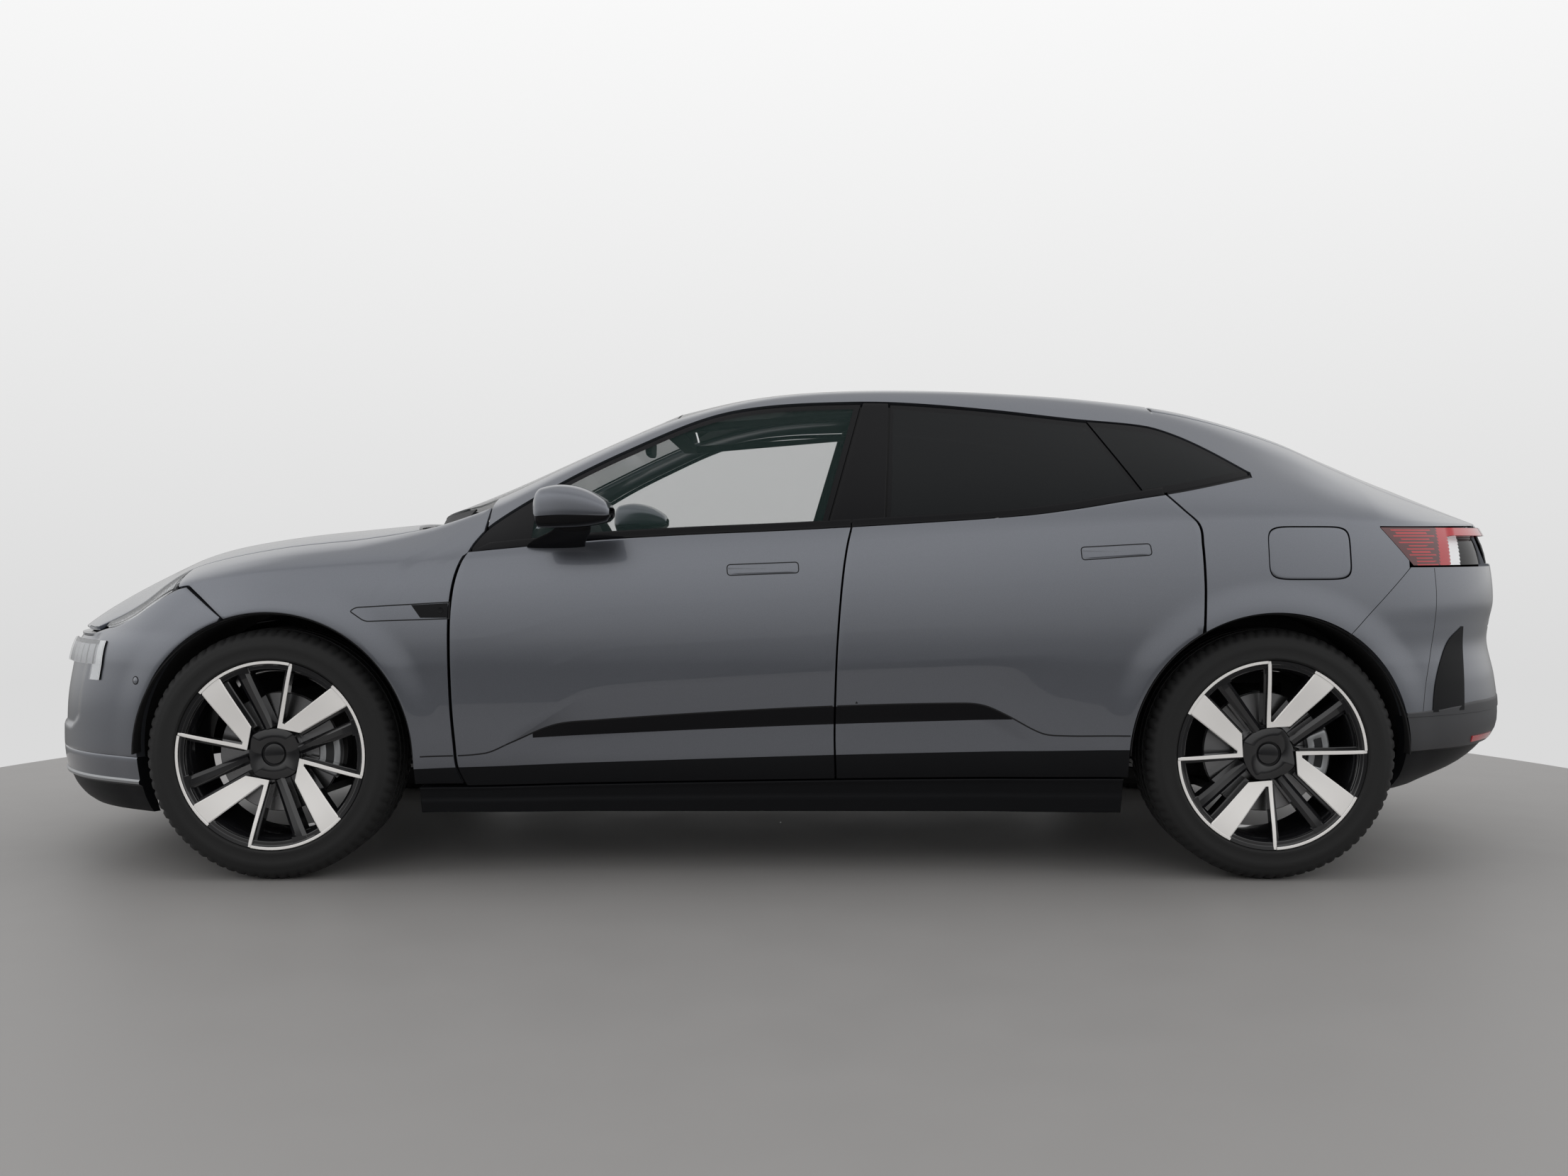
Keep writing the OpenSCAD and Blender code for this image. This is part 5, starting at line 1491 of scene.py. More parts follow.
@dataclass
class Lamps(Assembly):
    """Head lamps, tail lamps, the light bar and the trim of the rear corners."""
    foot: float = 946.0
    stripe: float = 9.6
    block_x: float = -2018.0
    clear_x: float = -2066.0
    clear_end: float = -2136.0
    clear_top: float = 1032.0
    ends: tuple[int, ...] = (0, 16, 34, 8, 46, 22, 60, 12, 38, 5, 50, 28, 18)

    def build(self) -> None:
        """Head lamps in front, tail lamps behind."""
        self.blades()
        self.low_lamps()
        self.tail()

    def blade(self, u: Array, v: Array) -> Array:
        """Point of the upper lamp between shoulder and bonnet."""
        f = self.form
        x = mix(1836.0, 2112.0, u)
        top = np.maximum(0.05, f.r_at_y(x, f.bonnet_y(x) + 7))
        return f.roof_point(x, 1.0 + 0 * x, mix(0.012, top, v), f.hood(x))

    def blades(self) -> None:
        """Upper lamps: dark housing with a white guide and ribs, under a clear cover."""
        look = self.look
        U, V = patch(60, 24)
        p = self.blade(U, V)
        n = outward(p, (1500, 0, 400))
        um, vm = middle(U), middle(V)
        rim = (vm < 0.08) | (vm > 0.93) | (um < 0.02) | (um > 0.985)
        cover = Piece("head_lamp_covers", "body", "lamp_clear", (look.lens, look.gloss),
                      ["headlamps"])
        cover.slab(p, p - n * 2.5, rim)
        cover.mirror().make()
        base = Piece("head_lamp_housings", "body", "lamp_clear",
                     (look.lip, look.light, look.reflector))
        fins = 2.0 * np.maximum(0, np.sin(U * 150)) * ease((V - 0.5) * 8) * ease((0.9 - V) * 10)
        deep = 9.0 - 3.0 * ((V > 0.14) & (V < 0.3)) - fins
        mark = np.where((vm > 0.14) & (vm < 0.30) & (um > 0.06), 1, np.where(vm > 0.5, 2, 0))
        base.slab(p - n * deep[..., None], p - n * 13.5, mark, back=0)
        base.mirror().make()

    def low_lamps(self) -> None:
        """Lower lamps: a box of seven reflectors and an upright leg under a clear cover."""
        f, look = self.form, self.look
        cover = Piece("low_lamp_covers", "body", "lamp_clear", (look.lens,))
        box = Piece("low_lamp_boxes", "body", "lamp_clear",
                    (look.light, look.reflector, look.gloss))
        for z0, z1, s0, s1, kind in ((640.0, 712.0, 1.0, 0.55, 1), (592.0, 640.0, 1.0, 0.93, 0)):
            T, Z = lattice(span(29), np.linspace(z0, z1, 13))
            edge = f.edge_angle(Z, np.interp(Z, [592, 640, 712], [2094.0, 2084.0, 2076.0]), True)
            a = mix(edge, np.pi / 2, 1 - mix(s0, s1, T))
            cover.slab(*f.shell(Z, a, True, -8.0, -5.5))
            zm, tm = middle(Z), middle(T)
            rib = 1.5 * (np.sin(T * 42) > 0.2) * kind
            mark = np.where((tm < 0.12) | (kind == 0), 0,
                            np.where((zm > 702) | (np.mod(tm * 7, 1) < 0.16), 2, 1))
            box.slab(*f.shell(Z, a, True, -4.0 + rib, -0.5), mark, back=2)
        cover.mirror().make()
        box.mirror().make()

    def lamp_x(self, z: Array) -> Array:
        """Slanting front edge of a tail lamp."""
        return mix(-1918.0, -1812.0, (z - self.foot) / 118)

    def tail(self) -> None:
        """Tail lamps: striped red lens with a clear end, and the light bar across the tailgate."""
        f, look = self.form, self.look
        T, Z = lattice(span(64), np.linspace(self.foot, 1061, 59))
        a = mix(f.edge_angle(Z, self.lamp_x(Z), False), f.side_angle(608.0, Z, False), T)
        x = f.wrap(Z, a, 1.0, False)[..., 0]
        xm, zm = middle(x), middle(Z)
        cell = np.floor((zm - self.foot) / self.stripe).astype(int)
        ends = np.array(self.ends)[np.clip(cell, 0, len(self.ends) - 1)]
        lit = np.mod(zm - self.foot, self.stripe) < 4.4
        stripe = lit & (xm < self.lamp_x(zm) - 16 - 0.4 * ends) & (xm > -2010 + 0.6 * ends)
        clear = (xm < self.clear_x) & (zm < self.clear_top)
        mark = np.where(clear, np.where(xm > self.clear_end, 3, 2), (xm < self.block_x) | stripe)
        step = mix(21.0, -9.0, ease((Z - self.clear_top + 2) / 7))
        deep = mix(1.5, step, ease((self.clear_x + 5 - x) / 14))
        lens = Piece("tail_lamp_lenses", "body", "lamp_red",
                     (look.dark_red, look.red, look.gloss, look.light), ["tail_lamps"])
        lens.slab(*f.shell(Z, a, False, deep, 26.0), mark, back=2)
        lens.mirror().make()
        bar = Piece("light_bar", "tailgate", "lamp_red", (look.red, look.satin), ["tailgate_lamp"])
        S, K = lattice(np.linspace(-1, 1, 81), span(19))
        z = pick([1063.0, 1062.0, 1036.0, 1035.0, 1034.0, 951.0, 949.0], K)
        out = pick([2.0, 12.0, 12.0, 2.0, -10.0, -10.0, -10.0], K)
        x = f.end_x(600.0 * S, z, False)
        km = middle(K) * 6
        bar.slab(cloud(x - out, 597.0 * S, z), cloud(x + 13.2, 597.0 * S, z),
                 np.where(km < 3, 0, 1), back=1)
        bar.make()

    def rear_corner(self) -> None:
        """Black scoops, a dark line of painted crease shade, and reflectors of the rear corners."""
        f, look, trim = self.form, self.look, Trim(self.form, self.look)
        # Dark line down the rear corner where the body turns: painted shade of that crease
        path = np.array([(-1992, 938), (-1995, 850), (-1988, 760), (-1972, 670), (-1955, 585),
                         (-1945, 500)], float)
        fine = np.stack([along(row)(span(60)) for row in path.T], -1)
        crease_shade = Piece("rear_corner_crease_shade", "body", "gloss_black", (look.seam,))
        crease_shade.slab(*trim.ribbon(fine, 2.0, 0.3, 0.8))
        crease_shade.mirror().make()
        T, V = patch(70, 8)
        a = mix(f.edge_angle(500.0, f.tail_edge(500.0), False), np.pi / 2, T)
        z = mix(489.0, 503 + 21 * ease(T * 3), V)
        band = Piece("rear_cladding_band", "body", "cladding", (look.lip,))
        band.slab(*f.shell(z, a, False, -2.0 + 1.5 * (V > 0.95), 2.0))
        band.mirror().make()
        # The reflectors take the glowing red lamp finish, so they carry a painted glow though they
        # are no lamps
        glow = Piece("rear_reflectors", "body", "lamp_red", (look.red,))
        U, V = patch(20, 6)
        z = mix(394.0, 414.0, V)
        glow.slab(*f.shell(z, f.edge_angle(z, mix(-2150.0, -2262.0, U), False), False, -6.0, 2.0))
        glow.mirror().make()
        U, V = patch(24, 40)
        z = mix(500.0, 757.0, V)
        left = Line(500, -1981, 580, -1988, 653, -2010, 719, -2047, 757, -2100)(z)
        right = np.minimum(-2107.0, left - 3)
        a = mix(f.edge_angle(z, left, False), f.edge_angle(z, right, False), U)
        dish = 5.0 * np.sin(np.pi * U) * np.sin(np.pi * np.clip(V, 0.02, 0.98)) ** 0.5
        scoop = Piece("rear_corner_scoops", "body", "cladding", (look.satin,))
        scoop.slab(*f.shell(z, a, False, -2.2 + dish * 0.3, 1.5))
        scoop.mirror().make()


@dataclass
class Glazing(Assembly):
    """Fixed panes: windscreen, roof glass and quarter panes; covers of the centre pillars."""

    def build(self) -> None:
        """All fixed panes and covers."""
        f, look = self.form, self.look
        U, V = patch(61, 41)
        s = 2 * V - 1
        x = mix(f.roof_end, 322.0, U)
        top = f.roof_point(x, sign(s), 1 - (1 - f.roof_r - 0.0006) * np.abs(s), f.crown(x))
        roof = Piece("roof_pane", "body", "dark_glass", (look.dark, look.gloss), ["roof_glass"])
        um, sm = middle(U), middle(s)
        rim = (np.abs(sm) > 0.9) | (um < 0.05) | (um > 0.95) | (np.abs(um - 0.52) < 0.012)
        roof.slab(top, top - np.array([0, 0, 7.0]), rim)
        roof.make()
        x = mix(f.bow(f.foot_x, 235, s), f.head_x, U)
        top = f.roof_point(x, sign(s), 1 - (1 - f.roof_r - 0.004) * np.abs(s), f.crown(x))
        rim = (np.abs(sm) > 0.93) | (um < 0.10) | (um > 0.93)
        screen = Piece("windscreen_pane", "body", "clear_glass", (look.screen, look.gloss),
                       ["windscreen"])
        screen.slab(top, top - np.array([2.0, 0, 5.0]), rim)
        screen.make()
        self.quarters()
        self.covers()

    def quarters(self) -> None:
        """Dark quarter panes, with a strip that closes the gap to the door's pane."""
        f, look = self.form, self.look
        U, V = patch(46, 21)

        def place(u: Array, z: Array) -> Array:
            """Station between the rear corner and the slanting divider."""
            return mix(-1432.0, f.divider(z) - 6, u)

        def height(x: Array, v: Array) -> Array:
            """Height between belt and window line, with rows for the black border."""
            a, b = f.belt(x) + 6, np.maximum(f.window(x) + 1.0, f.belt(x) + 9)
            return pick([a, np.minimum(a + 20, mix(a, b, 0.45)), mix(a, b, 0.5),
                         np.maximum(b - 22, mix(a, b, 0.55)), b], v)

        x, z = settle(lambda z: place(U, z), lambda x: height(x, V), 1270.0 + 0 * U)
        y = f.body_y(x, z)
        um, vm = middle(U), middle(V)
        rim = (vm < 0.25) | (vm > 0.75) | (um < 0.1)
        pane = Piece("quarter_panes", "body", "dark_glass", (look.dark, look.gloss),
                     ["quarter_glass"])
        pane.slab(cloud(x, y - 6.0, z), cloud(x, y - 14.0, z), rim)
        W, V = lattice(np.array([-18.0, 0.0, 16.0]), span(16))
        x, z = settle(lambda z: f.divider(z) - 3 + W, lambda x: height(x, V), 1270.0 + 0 * W)
        y = f.body_y(x, z)
        pane.slab(cloud(x, y - 17.5, z), cloud(x, y - 20.0, z), 1, back=1)
        pane.mirror().make()
        run = np.linspace(-1438, -1170, 60)
        path = np.stack([run, f.belt(run) + 3.5], -1)
        strip = Piece("quarter_belt_strips", "body", "gloss_black", (look.gloss,))
        strip.slab(*Trim(f, look).ribbon(path, 9.0, -1.0, 7.0))
        strip.mirror().make()

    def covers(self) -> None:
        """Gloss covers between the door panes, and a strip behind that closes their gaps."""
        f = self.form
        u, ru = steps(10, 100, 2.0)
        v, rv = steps(30, 350, 2.0)
        U, V = lattice(u, v)
        z = mix(f.belt(-330.0) + 6, f.window(mix(-345.0, -243.0, U)) + 1.5, V)
        x = mix(f.pillar_rear(z) + 6, f.pillar_front(z) - 6, U)
        y = f.body_y(x, z)
        cover = Piece("pillar_gloss_covers", "body", "gloss_black", (self.look.gloss,),
                      ["pillar_covers"])
        cover.slab(rolled(cloud(x, y - 4.05, z), ru, rv, 2.0), cloud(x, y - 14.8, z))
        wide = x + mix(-16.0, 16.0, U)
        cover.slab(cloud(wide, y - 17.5, z), cloud(wide, y - 20.5, z))
        cover.mirror().make()


@dataclass
class Tailgate(Assembly):
    """Tailgate: sloping lid with a crisp rear edge, upright rear face and a blank plate."""

    def build(self) -> None:
        """Lid and rear face in one skin."""
        f, look = self.form, self.look
        v, rv = steps(50, 1200, 3.0)
        u, ru = steps(56, 1150, 3.0, high=False)
        U, V = lattice(u, v)
        s = 2 * V - 1
        y = f.tail_side * s
        x = mix(f.roof_end - 15, f.end_x(y, 1075.0, False) + 4, U)
        lid = f.roof_point(x, sign(s), f.r_at_y(x, np.abs(y)), f.crown(x))
        lid = rolled(lid, ru, rv, 3.0, outward(lid, (-1700, 0, 700)))
        rows = np.concatenate([[1073.5, 1071, 1066, 1064.2, 1064], np.linspace(948, 946.5, 3),
                               np.linspace(944, 751, 30), [749.5, 748.4, 748.0]])
        sink = np.interp(rows, [748, 748.4, 749.5, 751, 946, 946.5, 948, 1064, 1064.2, 1066,
                                1073.5], [3, 1.6, 0.4, 0, 0, 2, 14, 14, 1.5, 0, 1.0])
        R, V2 = lattice(rows, v)
        s2 = 2 * V2 - 1
        face = cloud(f.end_x(600 * s2, R, False) + sink[:, None], 600 * s2, R)
        outer = np.concatenate([lid, face])
        inner = outer + np.concatenate([cloud(30 * ease((U - 0.9) * 10), 0 * U, -30 + 0 * U),
                                        cloud(34 + 0 * R, 0 * R, -31 * ease((R - 1040) / 33))])
        gate = Piece("tailgate_skin", "tailgate", "paint", (look.paint,), ["tailgate"])
        gate.slab(outer, inner)
        gate.make()
        u, ru = steps(12, 110, 2.0)
        v, rv = steps(30, 520, 2.0)
        U, V = lattice(u, v)
        z, y = mix(556.0, 666.0, U), mix(-258.0, 258.0, V)
        at = f.end_x(y, z, False)
        grid = cloud(at - 7.0, y, z)
        board = Piece("blank_plate_board", "body", "gloss_black", (look.plate,))
        board.slab(rolled(grid, ru, rv, 2.0, cloud(-1.0 + 0 * y, 0 * y, 0 * y)),
                   cloud(at + 2.0, y, z))
        board.make()


@dataclass
class Mirrors(Assembly):
    """Door mirrors: painted cap, black lower shell and arm, inset glass."""

    def build(self) -> None:
        """One mirror on each front door."""
        x = Line(0, 488, 0.08, 500, 0.3, 560, 0.6, 630, 0.85, 689, 0.95, 704, 1.0, 711)
        low = Line(0, 1086, 0.08, 1074, 0.3, 1062, 0.6, 1057.6, 0.85, 1057.6, 0.95, 1062, 1.0, 1078)
        high = Line(0, 1117, 0.08, 1137, 0.3, 1170, 0.6, 1183, 0.85, 1174, 0.95, 1162, 1.0, 1146)
        half = Line(0, 76, 0.08, 83, 0.3, 88, 0.6, 86, 0.85, 70, 0.95, 58, 1.0, 40)
        u = np.concatenate([np.linspace(0, 0.9, 28), np.linspace(0.92, 1.0, 8)])
        a = np.linspace(0, 2 * np.pi, 65)
        U, A = lattice(u, a)
        c, s = np.cos(A), np.sin(A)
        k = (np.abs(c) ** 3.2 + np.abs(s) ** 3.2) ** (-1 / 3.2)
        mid, tall = (low(U) + high(U)) / 2, (high(U) - low(U)) / 2
        shell = cloud(x(U) + 0 * A, 1064 + half(U) * k * c, mid + tall * k * s)
        hub = np.array([488.0, 1064.0, 1101.0])
        ring = shell[0]
        face = np.stack([ring, mix(hub, ring, 0.93) + [4, 0, 0], mix(hub, ring, 0.92) + [9, 0, 0],
                         mix(hub, ring, 0.001) + [9, 0, 0]])
        am = middle(A)
        lower = np.sin(am) < -0.34
        for side, name in ((1, "left"), (-1, "right")):
            piece = Piece("mirror_shell_" + name, "door_front_" + name, "paint",
                          (self.look.paint, self.look.gloss, self.look.mirror), ["mirror_" + name])
            piece.sheet(shell, lower)
            core = shell[-1].mean(0)
            tip = np.stack([shell[-1], mix(core, shell[-1], 0.8) + [2.5, 0, 0],
                            mix(core, shell[-1], 0.001) + [3.5, 0, 0]])
            piece.sheet(tip, np.where(lower[:2], 1, 0))
            piece.sheet(face, np.array([1, 1, 2])[:, None] + 0 * lower[:3].astype(int))
            self.arm(piece)
            piece.turned(side).make()

    def arm(self, piece: Piece) -> None:
        """Black arm from the door's shoulder into the shell."""
        t, a = lattice(span(14), np.linspace(0, 2 * np.pi, 33))
        foot = float(self.form.body_y(672.0, 1000.0)) - 6
        cx, cy, cz = mix(672.0, 606.0, ease(t)), mix(foot, 1034.0, t), mix(1000.0, 1064.0, t)
        wide, thin = mix(88.0, 52.0, ease(t)), mix(13.0, 17.0, t)
        tube = cloud(cx + wide * np.cos(a), cy + thin * 0.6 * np.sin(a),
                     cz + thin * np.sin(a) * 0.8)
        piece.tube(tube, 1)


@dataclass
class Wheel:
    """Road wheel: treaded tyre, black rim with bright ribbons, brake disc."""
    look: Finishes
    code: str
    body: str
    axle: float
    side: int
    turn: float
    radius: float = 378.0
    track: float = 845.0
    bead: float = 276.0
    tread_steps: int = 288

    def world(self, px: Array, py: Array, d: Array) -> Array:
        """Place of a point seen from outside: px right, py up, d out from the wheel's middle."""
        t = np.radians(self.turn)
        x, y = px * np.cos(t) + py * np.sin(t), py * np.cos(t) - px * np.sin(t)
        return cloud(self.axle - self.side * x, self.side * (self.track + d), self.radius + y)

    def spun(self, profile: Sequence[tuple[float, float]], n: int = 120) -> Array:
        """Closed turn of a profile of radii and depths."""
        p = np.asarray(profile, float)
        R, A = lattice(np.arange(len(p)), np.linspace(0, 2 * np.pi, n + 1))
        return self.world(p[R, 0] * np.sin(A), p[R, 0] * np.cos(A), p[R, 1] + 0 * A)

    def build(self) -> None:
        """Tyre, rim and disc."""
        self.tyre()
        look = self.look
        rim = Piece("rim_" + self.code + "_cast", self.body, "alloy",
                    (look.wheel, look.alloy[round(self.axle * MM, 3)]), ["rim_" + self.code], 30.0)
        edge = [(268, 112.0), (274, 118.0), (283.8, 119.0), (284.6, 116), (284, 108), (276, 100),
                (262, 86), (256, 40), (252, -20), (256, -90), (266, -118), (284, -124), (270, -123),
                (248, -92), (244, -20), (247, 40), (252, 88), (260, 104), (268, 112.0)]
        rim.sheet(self.spun(edge, 180), 0)
        self.hub(rim)
        self.spokes(rim)
        rim.make()
        disc = Piece("disc_" + self.code, self.body, "alloy", (look.disc, look.steel), (), 30.0)
        disc.sheet(self.spun([(0.01, 47), (60, 47), (78, 46), (80, 44), (80, 27), (92, 26),
                              (180, 26), (182, 24), (182, 18), (176, 17), (182, 16), (182, 10),
                              (180, 8), (90, 8), (0.01, 8)]), 0)
        disc.make()

    def face(self, px: Array, py: Array) -> Array:
        """Depth of the wheel's face: it sinks from rim to hub."""
        r = np.hypot(px, py)
        return mix(88.0, 117.0, ease((r - 60) / 215))

    def beam(self, rim: Piece, left: Array, right: Array, drop: float, chamfer: float,
             raise_by: float, finish: int) -> None:
        """Bar between two edges with chamfered sides.

        Args:
            rim: Piece that takes the bar.
            left, right: Edge points seen from outside, shape (n, 2).
            drop: Depth of the bar.
            chamfer: Width of the chamfers.
            raise_by: Height of the top above the wheel's face.
            finish: Finish of the top; the flanks are black.
        """
        wide = np.linalg.norm(right - left, axis=1)[:, None]
        c = np.minimum(chamfer / np.maximum(wide, 1e-6), 0.3)
        s = np.concatenate([0 * c, c, mix(c, 1 - c, 0.33), mix(c, 1 - c, 0.67), 1 - c, 1 + 0 * c],
                           1)
        p = left[:, None] + (right - left)[:, None] * s[..., None]
        flank = chamfer * np.array([0.8, 0, 0, 0, 0, 0.8])[None]
        d = self.face(p[..., 0], p[..., 1]) + raise_by - flank
        for turn in range(4):
            q = p if turn == 0 else np.stack([q[..., 1], -q[..., 0]], -1)
            top = self.world(q[..., 0], q[..., 1], d)
            rim.slab(top, self.world(q[..., 0], q[..., 1], d - drop), finish, back=0)

    def spokes(self, rim: Piece) -> None:
        """Bright ribbon of line, blade and arc beside a dark ridged spoke, four times."""
        def run(a: tuple[float, float], b: tuple[float, float], n: int = 14) -> Array:
            """Straight edge from a to b."""
            return mix(np.asarray(a, float), np.asarray(b, float), span(n)[:, None])

        def ring(r: float, first: float, last: float) -> Array:
            """Arc of a radius between two angles from the top."""
            angle = np.radians(np.linspace(first, last, 24))
            return r * np.stack([np.sin(angle), np.cos(angle)], -1)

        bars = (
            (run((-15.8, 282.6), (-9, 79.2)), run((-5.6, 282.6), (2.9, 97.8)), 34, 1.6, 2.0, 1),
            (run((9.7, 97.8), (128.3, 252)), run((62.2, 84.2), (187.5, 209.5)), 40, 3.2, 2.0, 1),
            (run((2.9, 97.8), (9.7, 97.8), 4), run((-9, 79.2), (62.2, 84.2), 4), 34, 1.6, 2.0, 1),
            (ring(284.2, 26.4, 86.9), ring(275.6, 26.4, 86.9), 12, 1.2, 4.0, 1),
            (run((60, 46), (205, 165)), run((80, 22), (222, 128)), 46, 11.0, -4.0, 0),
            (run((203, 168), (213, 176), 4), run((222, 122), (236, 130), 4), 30, 3.0, -2.0, 0),
            (run((-26, 272), (-17, 92)), run((-14, 272), (-8, 92)), 40, 2.0, -9.0, 0),
            (run((40, 96), (140, 240)), run((66, 74), (192, 200)), 52, 3.0, -20.0, 0),
            (ring(283, -4, 28), ring(262, -4, 28), 16, 2.0, -1.0, 0),
            (ring(272, 24, 88), ring(260, 24, 88), 22, 2.0, -3.0, 0),
        )
        for bar in bars:
            self.beam(rim, *bar)

    def hub(self, rim: Piece) -> None:
        """Faceted hub with four shallow arms and a bare cap sunk in a ring."""
        r = np.array([0.01, 24, 30, 32, 33, 36, 38, 44, 66, 84, 88, 86])
        d = np.array([80, 80, 79, 77, 74, 74, 82, 84, 88, 86, 80, 52.0])
        R, A = lattice(np.arange(len(r)), np.linspace(0, 2 * np.pi, 129))
        lobe = np.abs(np.sin(2 * (A - 0.46)))
        reach = np.clip((r[R] - 40) / 40, 0, 1)
        radius = r[R] * (1 - 0.10 * reach * lobe)
        depth = d[R] - 6 * reach * lobe
        rim.sheet(self.world(radius * np.sin(A), radius * np.cos(A), depth), 0)
        rim.sheet(self.spun([(78, 52), (80, 26.5), (0.01, 26.5)], 64), 0)

    def tyre(self) -> None:
        """Tyre with four ring grooves, slanted shoulder cuts, flank ribs and steps."""
        r, b = self.radius, self.bead
        path = np.array([(b + 9, 106), (b + 9.4, 117), (b + 12, 121.5), (b + 16, 124.8),
                         (b + 24, 125), (b + 28, 123.6), (b + 45, 126.8), (b + 58, 127.4),
                         (r - 40, 125.5), (r - 30, 122.5), (r - 22, 119), (r - 12, 111),
                         (r - 5, 100), (r - 1.2, 86)])
        tread = np.array([78, 74, 69, 68, 60, 59, 50, 40, 30, 27, 26, 18, 17, 9, 0.0])
        flat = np.stack([r - 1.2 * (tread / 86) ** 2, tread], -1)
        half = np.concatenate([path, flat])
        full = np.concatenate([half, half[-2::-1] * [1, -1]])
        a = np.linspace(0, 2 * np.pi, self.tread_steps + 1)
        I, A = lattice(np.arange(len(full)), a)
        R, D = full[I, 0], full[I, 1]
        w = np.abs(D)
        groove = 7.5 * (((w > 59.5) & (w < 68.5)) | ((w > 17.5) & (w < 26.5))) * (R > r - 6)
        cut = np.sin(72 * A + 0.05 * w) > 0.55
        shoulder = 5.5 * (cut & (w > 69.5) & (R > r - 16))
        sipe = np.sin(72 * A - 0.09 * w + 1.0) > 0.72
        block = 4.0 * (sipe & (w > 27.5) & (w < 58.5) & (R > r - 6))
        sink = np.maximum(groove, np.maximum(shoulder, block))
        rib = 0.9 * (np.sin(144 * A + 0.5) > 0) * ((R > r - 33) & (R < r - 21) & (D > 0))
        tyre = Piece("tyre_" + self.code + "_tread", self.body, "tyre", (self.look.rubber,),
                     ["tyre_" + self.code], 35.0)
        outer = self.world((R - sink) * np.sin(A), (R - sink) * np.cos(A), D + rib)
        tyre.sheet(outer)
        q = full[::4]
        q = np.concatenate([q[:-1], full[-1:]])
        J, A = lattice(np.arange(len(q)), a)
        inner_r = np.clip(q[J, 0] - 16, b, None)
        inner_d = np.clip(q[J, 1], -112, 112)
        tyre.sheet(self.world(inner_r * np.sin(A), inner_r * np.cos(A), inner_d))
        tyre.make()


@dataclass
class Jambs(Assembly):
    """Dark lips of the wheel arches, and walls that close wings and quarters at the doors."""

    def build(self) -> None:
        """Lips over the liners' outer edges and four upright walls."""
        f = self.form
        piece = Piece("arch_lips_and_jambs", "body", "cladding", (self.look.felt,))
        for axle in (f.axle_f, f.axle_r):
            A, V = lattice(np.linspace(0, np.pi, 60), span(5))
            y = mix(930.0, f.body_y(axle + 431 * np.cos(A), f.axle_z + 431 * np.sin(A)) - 10, V)
            lip = [cloud(axle + r * np.cos(A), y, f.axle_z + r * np.sin(A)) for r in (428.0, 424.8)]
            piece.slab(*lip)
        for low, high, front in ((420.0, 1040.0, True), (800.0, 1085.0, False)):
            Z, V = lattice(np.linspace(low, high, 30), span(6))
            x = 1040.0 + 0 * Z if front else f.rear_shut(Z) - 19
            y = mix(660.0 if front else 700.0, f.body_y(x, Z) - 9, V)
            piece.slab(cloud(x, y, Z), cloud(x - 3, y, Z))
        piece.mirror().make()


@dataclass
class Calipers(Assembly):
    """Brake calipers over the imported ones, behind each axle."""
    track: float = 845.0
    edge: float = 8.0

    def build(self) -> None:
        """Front calipers ride on the knuckles, rear ones on the body."""
        for axle, bodies in ((self.form.axle_f, ("knuckle_left", "knuckle_right")),
                             (self.form.axle_r, ("body", "body"))):
            for side, body in zip((1, -1), bodies):
                name = "caliper_%s_%s" % ("front" if axle > 0 else "rear",
                                          "left" if side > 0 else "right")
                u, ru = steps(16, 110, self.edge)
                v, rv = steps(10, 68, self.edge)
                U, V = lattice(u, v)
                a, r = np.radians(mix(-23.0, 23.0, U)), mix(127.0, 195.5, V)
                panel = 4 * (np.abs(V - 0.5) < 0.16) * (np.abs(U - 0.5) < 0.36)
                x, z = axle - r * np.cos(a), self.form.axle_z + r * np.sin(a)
                top = cloud(x, side * (self.track + 56.5 - sunk(ru, rv, self.edge) - panel), z)
                base = cloud(x, side * (self.track + 30.0), z)
                piece = Piece(name, body, "steel", (self.look.caliper,), (), 40.0)
                piece.slab(top, base)
                piece.make()


